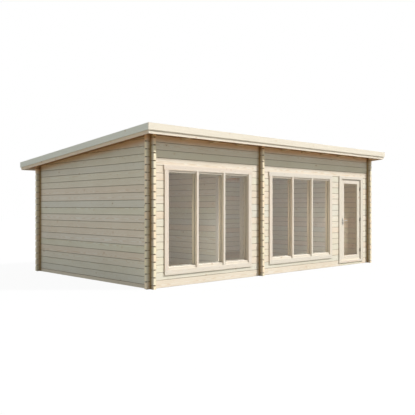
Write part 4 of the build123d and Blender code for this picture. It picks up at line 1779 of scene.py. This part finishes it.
@dataclass
class Studio:
    """Camera, lights and the pale floor."""

    eye: Triple = (-9.579, -9.8115, 1.397)
    turn_deg: float = -43.586
    lens: float = 50.0
    clip_end: float = 200.0
    to_sun: Triple = (0.52, -0.485, 0.648)
    sun_strength: float = 3.94
    sun_colour: Triple = (1.0, 0.99, 0.965)
    sun_spread_deg: float = 4.0
    fill: Colour = (0.73, 0.775, 0.80, 1.0)
    dim_fill: Colour = (0.35, 0.365, 0.36, 1.0)
    dim_side: Triple = (-0.45, -0.893, 0.0)
    floor_half: float = 60.0
    dim_from: Pair = (-0.1, 0.7)
    room: SoftLamp = SoftLamp(-1.45, 0.75, 90, 4.6, (0.91, 0.96, 1.0))
    reveal: SoftLamp = SoftLamp(-1.35, 1.2, -90, 5.0, (1.0, 0.84, 0.68))
    small_room: Pair = (-3.3, -0.85)
    large_room: Pair = (-0.4, 3.3)
    small_window: Pair = (-3.3, -1.9)
    large_window: Pair = (-0.4, 2.1)

    def build(self) -> None:
        """Set up the picture."""
        self.build_camera()
        self.build_sun()
        self.build_world()
        self.build_floor()
        self.room.build("small room light", self.small_room)
        self.room.build("large room light", self.large_room)
        self.reveal.build("small window light", self.small_window)
        self.reveal.build("large window light", self.large_window)
        bpy.context.scene.view_settings.view_transform = "Standard"

    def build_camera(self) -> None:
        """A level camera at the photograph's place."""
        data = bpy.data.cameras.new("camera")
        data.lens, data.clip_end = self.lens, self.clip_end
        turn = (math.pi / 2, 0.0, math.radians(self.turn_deg))
        bpy.context.scene.camera = put("camera", data, self.eye, turn)

    def build_sun(self) -> None:
        """One soft main light from the right, in front and above."""
        data = bpy.data.lights.new("main light", "SUN")
        data.energy, data.color = self.sun_strength, self.sun_colour
        data.angle = math.radians(self.sun_spread_deg)
        x, y, z = self.to_sun
        turn = (math.atan2(math.hypot(x, y), z), 0.0, math.atan2(x, -y))
        put("main light", data, turn=turn)

    def build_world(self) -> None:
        """A soft fill, dimmer from the camera's side, that shows as white behind the cabin."""
        world = bpy.data.worlds.new("studio")
        world.use_nodes = True
        bpy.context.scene.world = world
        sheet = NodeSheet(world.node_tree)
        fill = sheet.own("BACKGROUND")
        way = sheet.add("ShaderNodeTexCoord").outputs["Generated"]
        share = sheet.ramp(sheet.vector("DOT_PRODUCT", way, self.dim_side), *self.dim_from)
        sheet.feed(fill, Color=sheet.blend(share, self.fill, self.dim_fill))
        white = sheet.add("ShaderNodeBackground", (1, 1, 1, 1))
        sheet.show(sheet.rays(*SEEN), fill, white)

    def build_floor(self) -> None:
        """A pale floor that takes the cabin's shadow."""
        corners = self.floor_half * np.array(((-1, -1, 0), (1, -1, 0), (1, 1, 0), (-1, 1, 0)))
        mesh = bpy.data.meshes.new("studio_floor")
        mesh.from_pydata(corners.tolist(), [], [(0, 1, 2, 3)])
        put("studio_floor", mesh)
        mesh.materials.append(PaleFloor("pale floor").material())


def main() -> None:
    """Build the cabin's looks in order."""
    logging.basicConfig(level=logging.INFO, format="%(name)s: %(message)s")
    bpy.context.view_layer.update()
    Studio().build()
    finishes = Finishes()
    LogWalls(finishes).build()
    windows = [WindowUnit(finishes, side=side) for side in ("left", "right")]
    for window in windows:
        window.build()
    build_inner_casings(windows, finishes)
    GlazedDoor(finishes).build()
    Passage(finishes).build()
    BoardedFloor(finishes).build()
    PentRoof(finishes).build()
    threshold = Softwood("threshold", finishes.joinery, Run.LENGTHWISE, seed=9.4)
    dress(threshold.material(), "door_threshold")


if __name__ == "__main__":
    main()
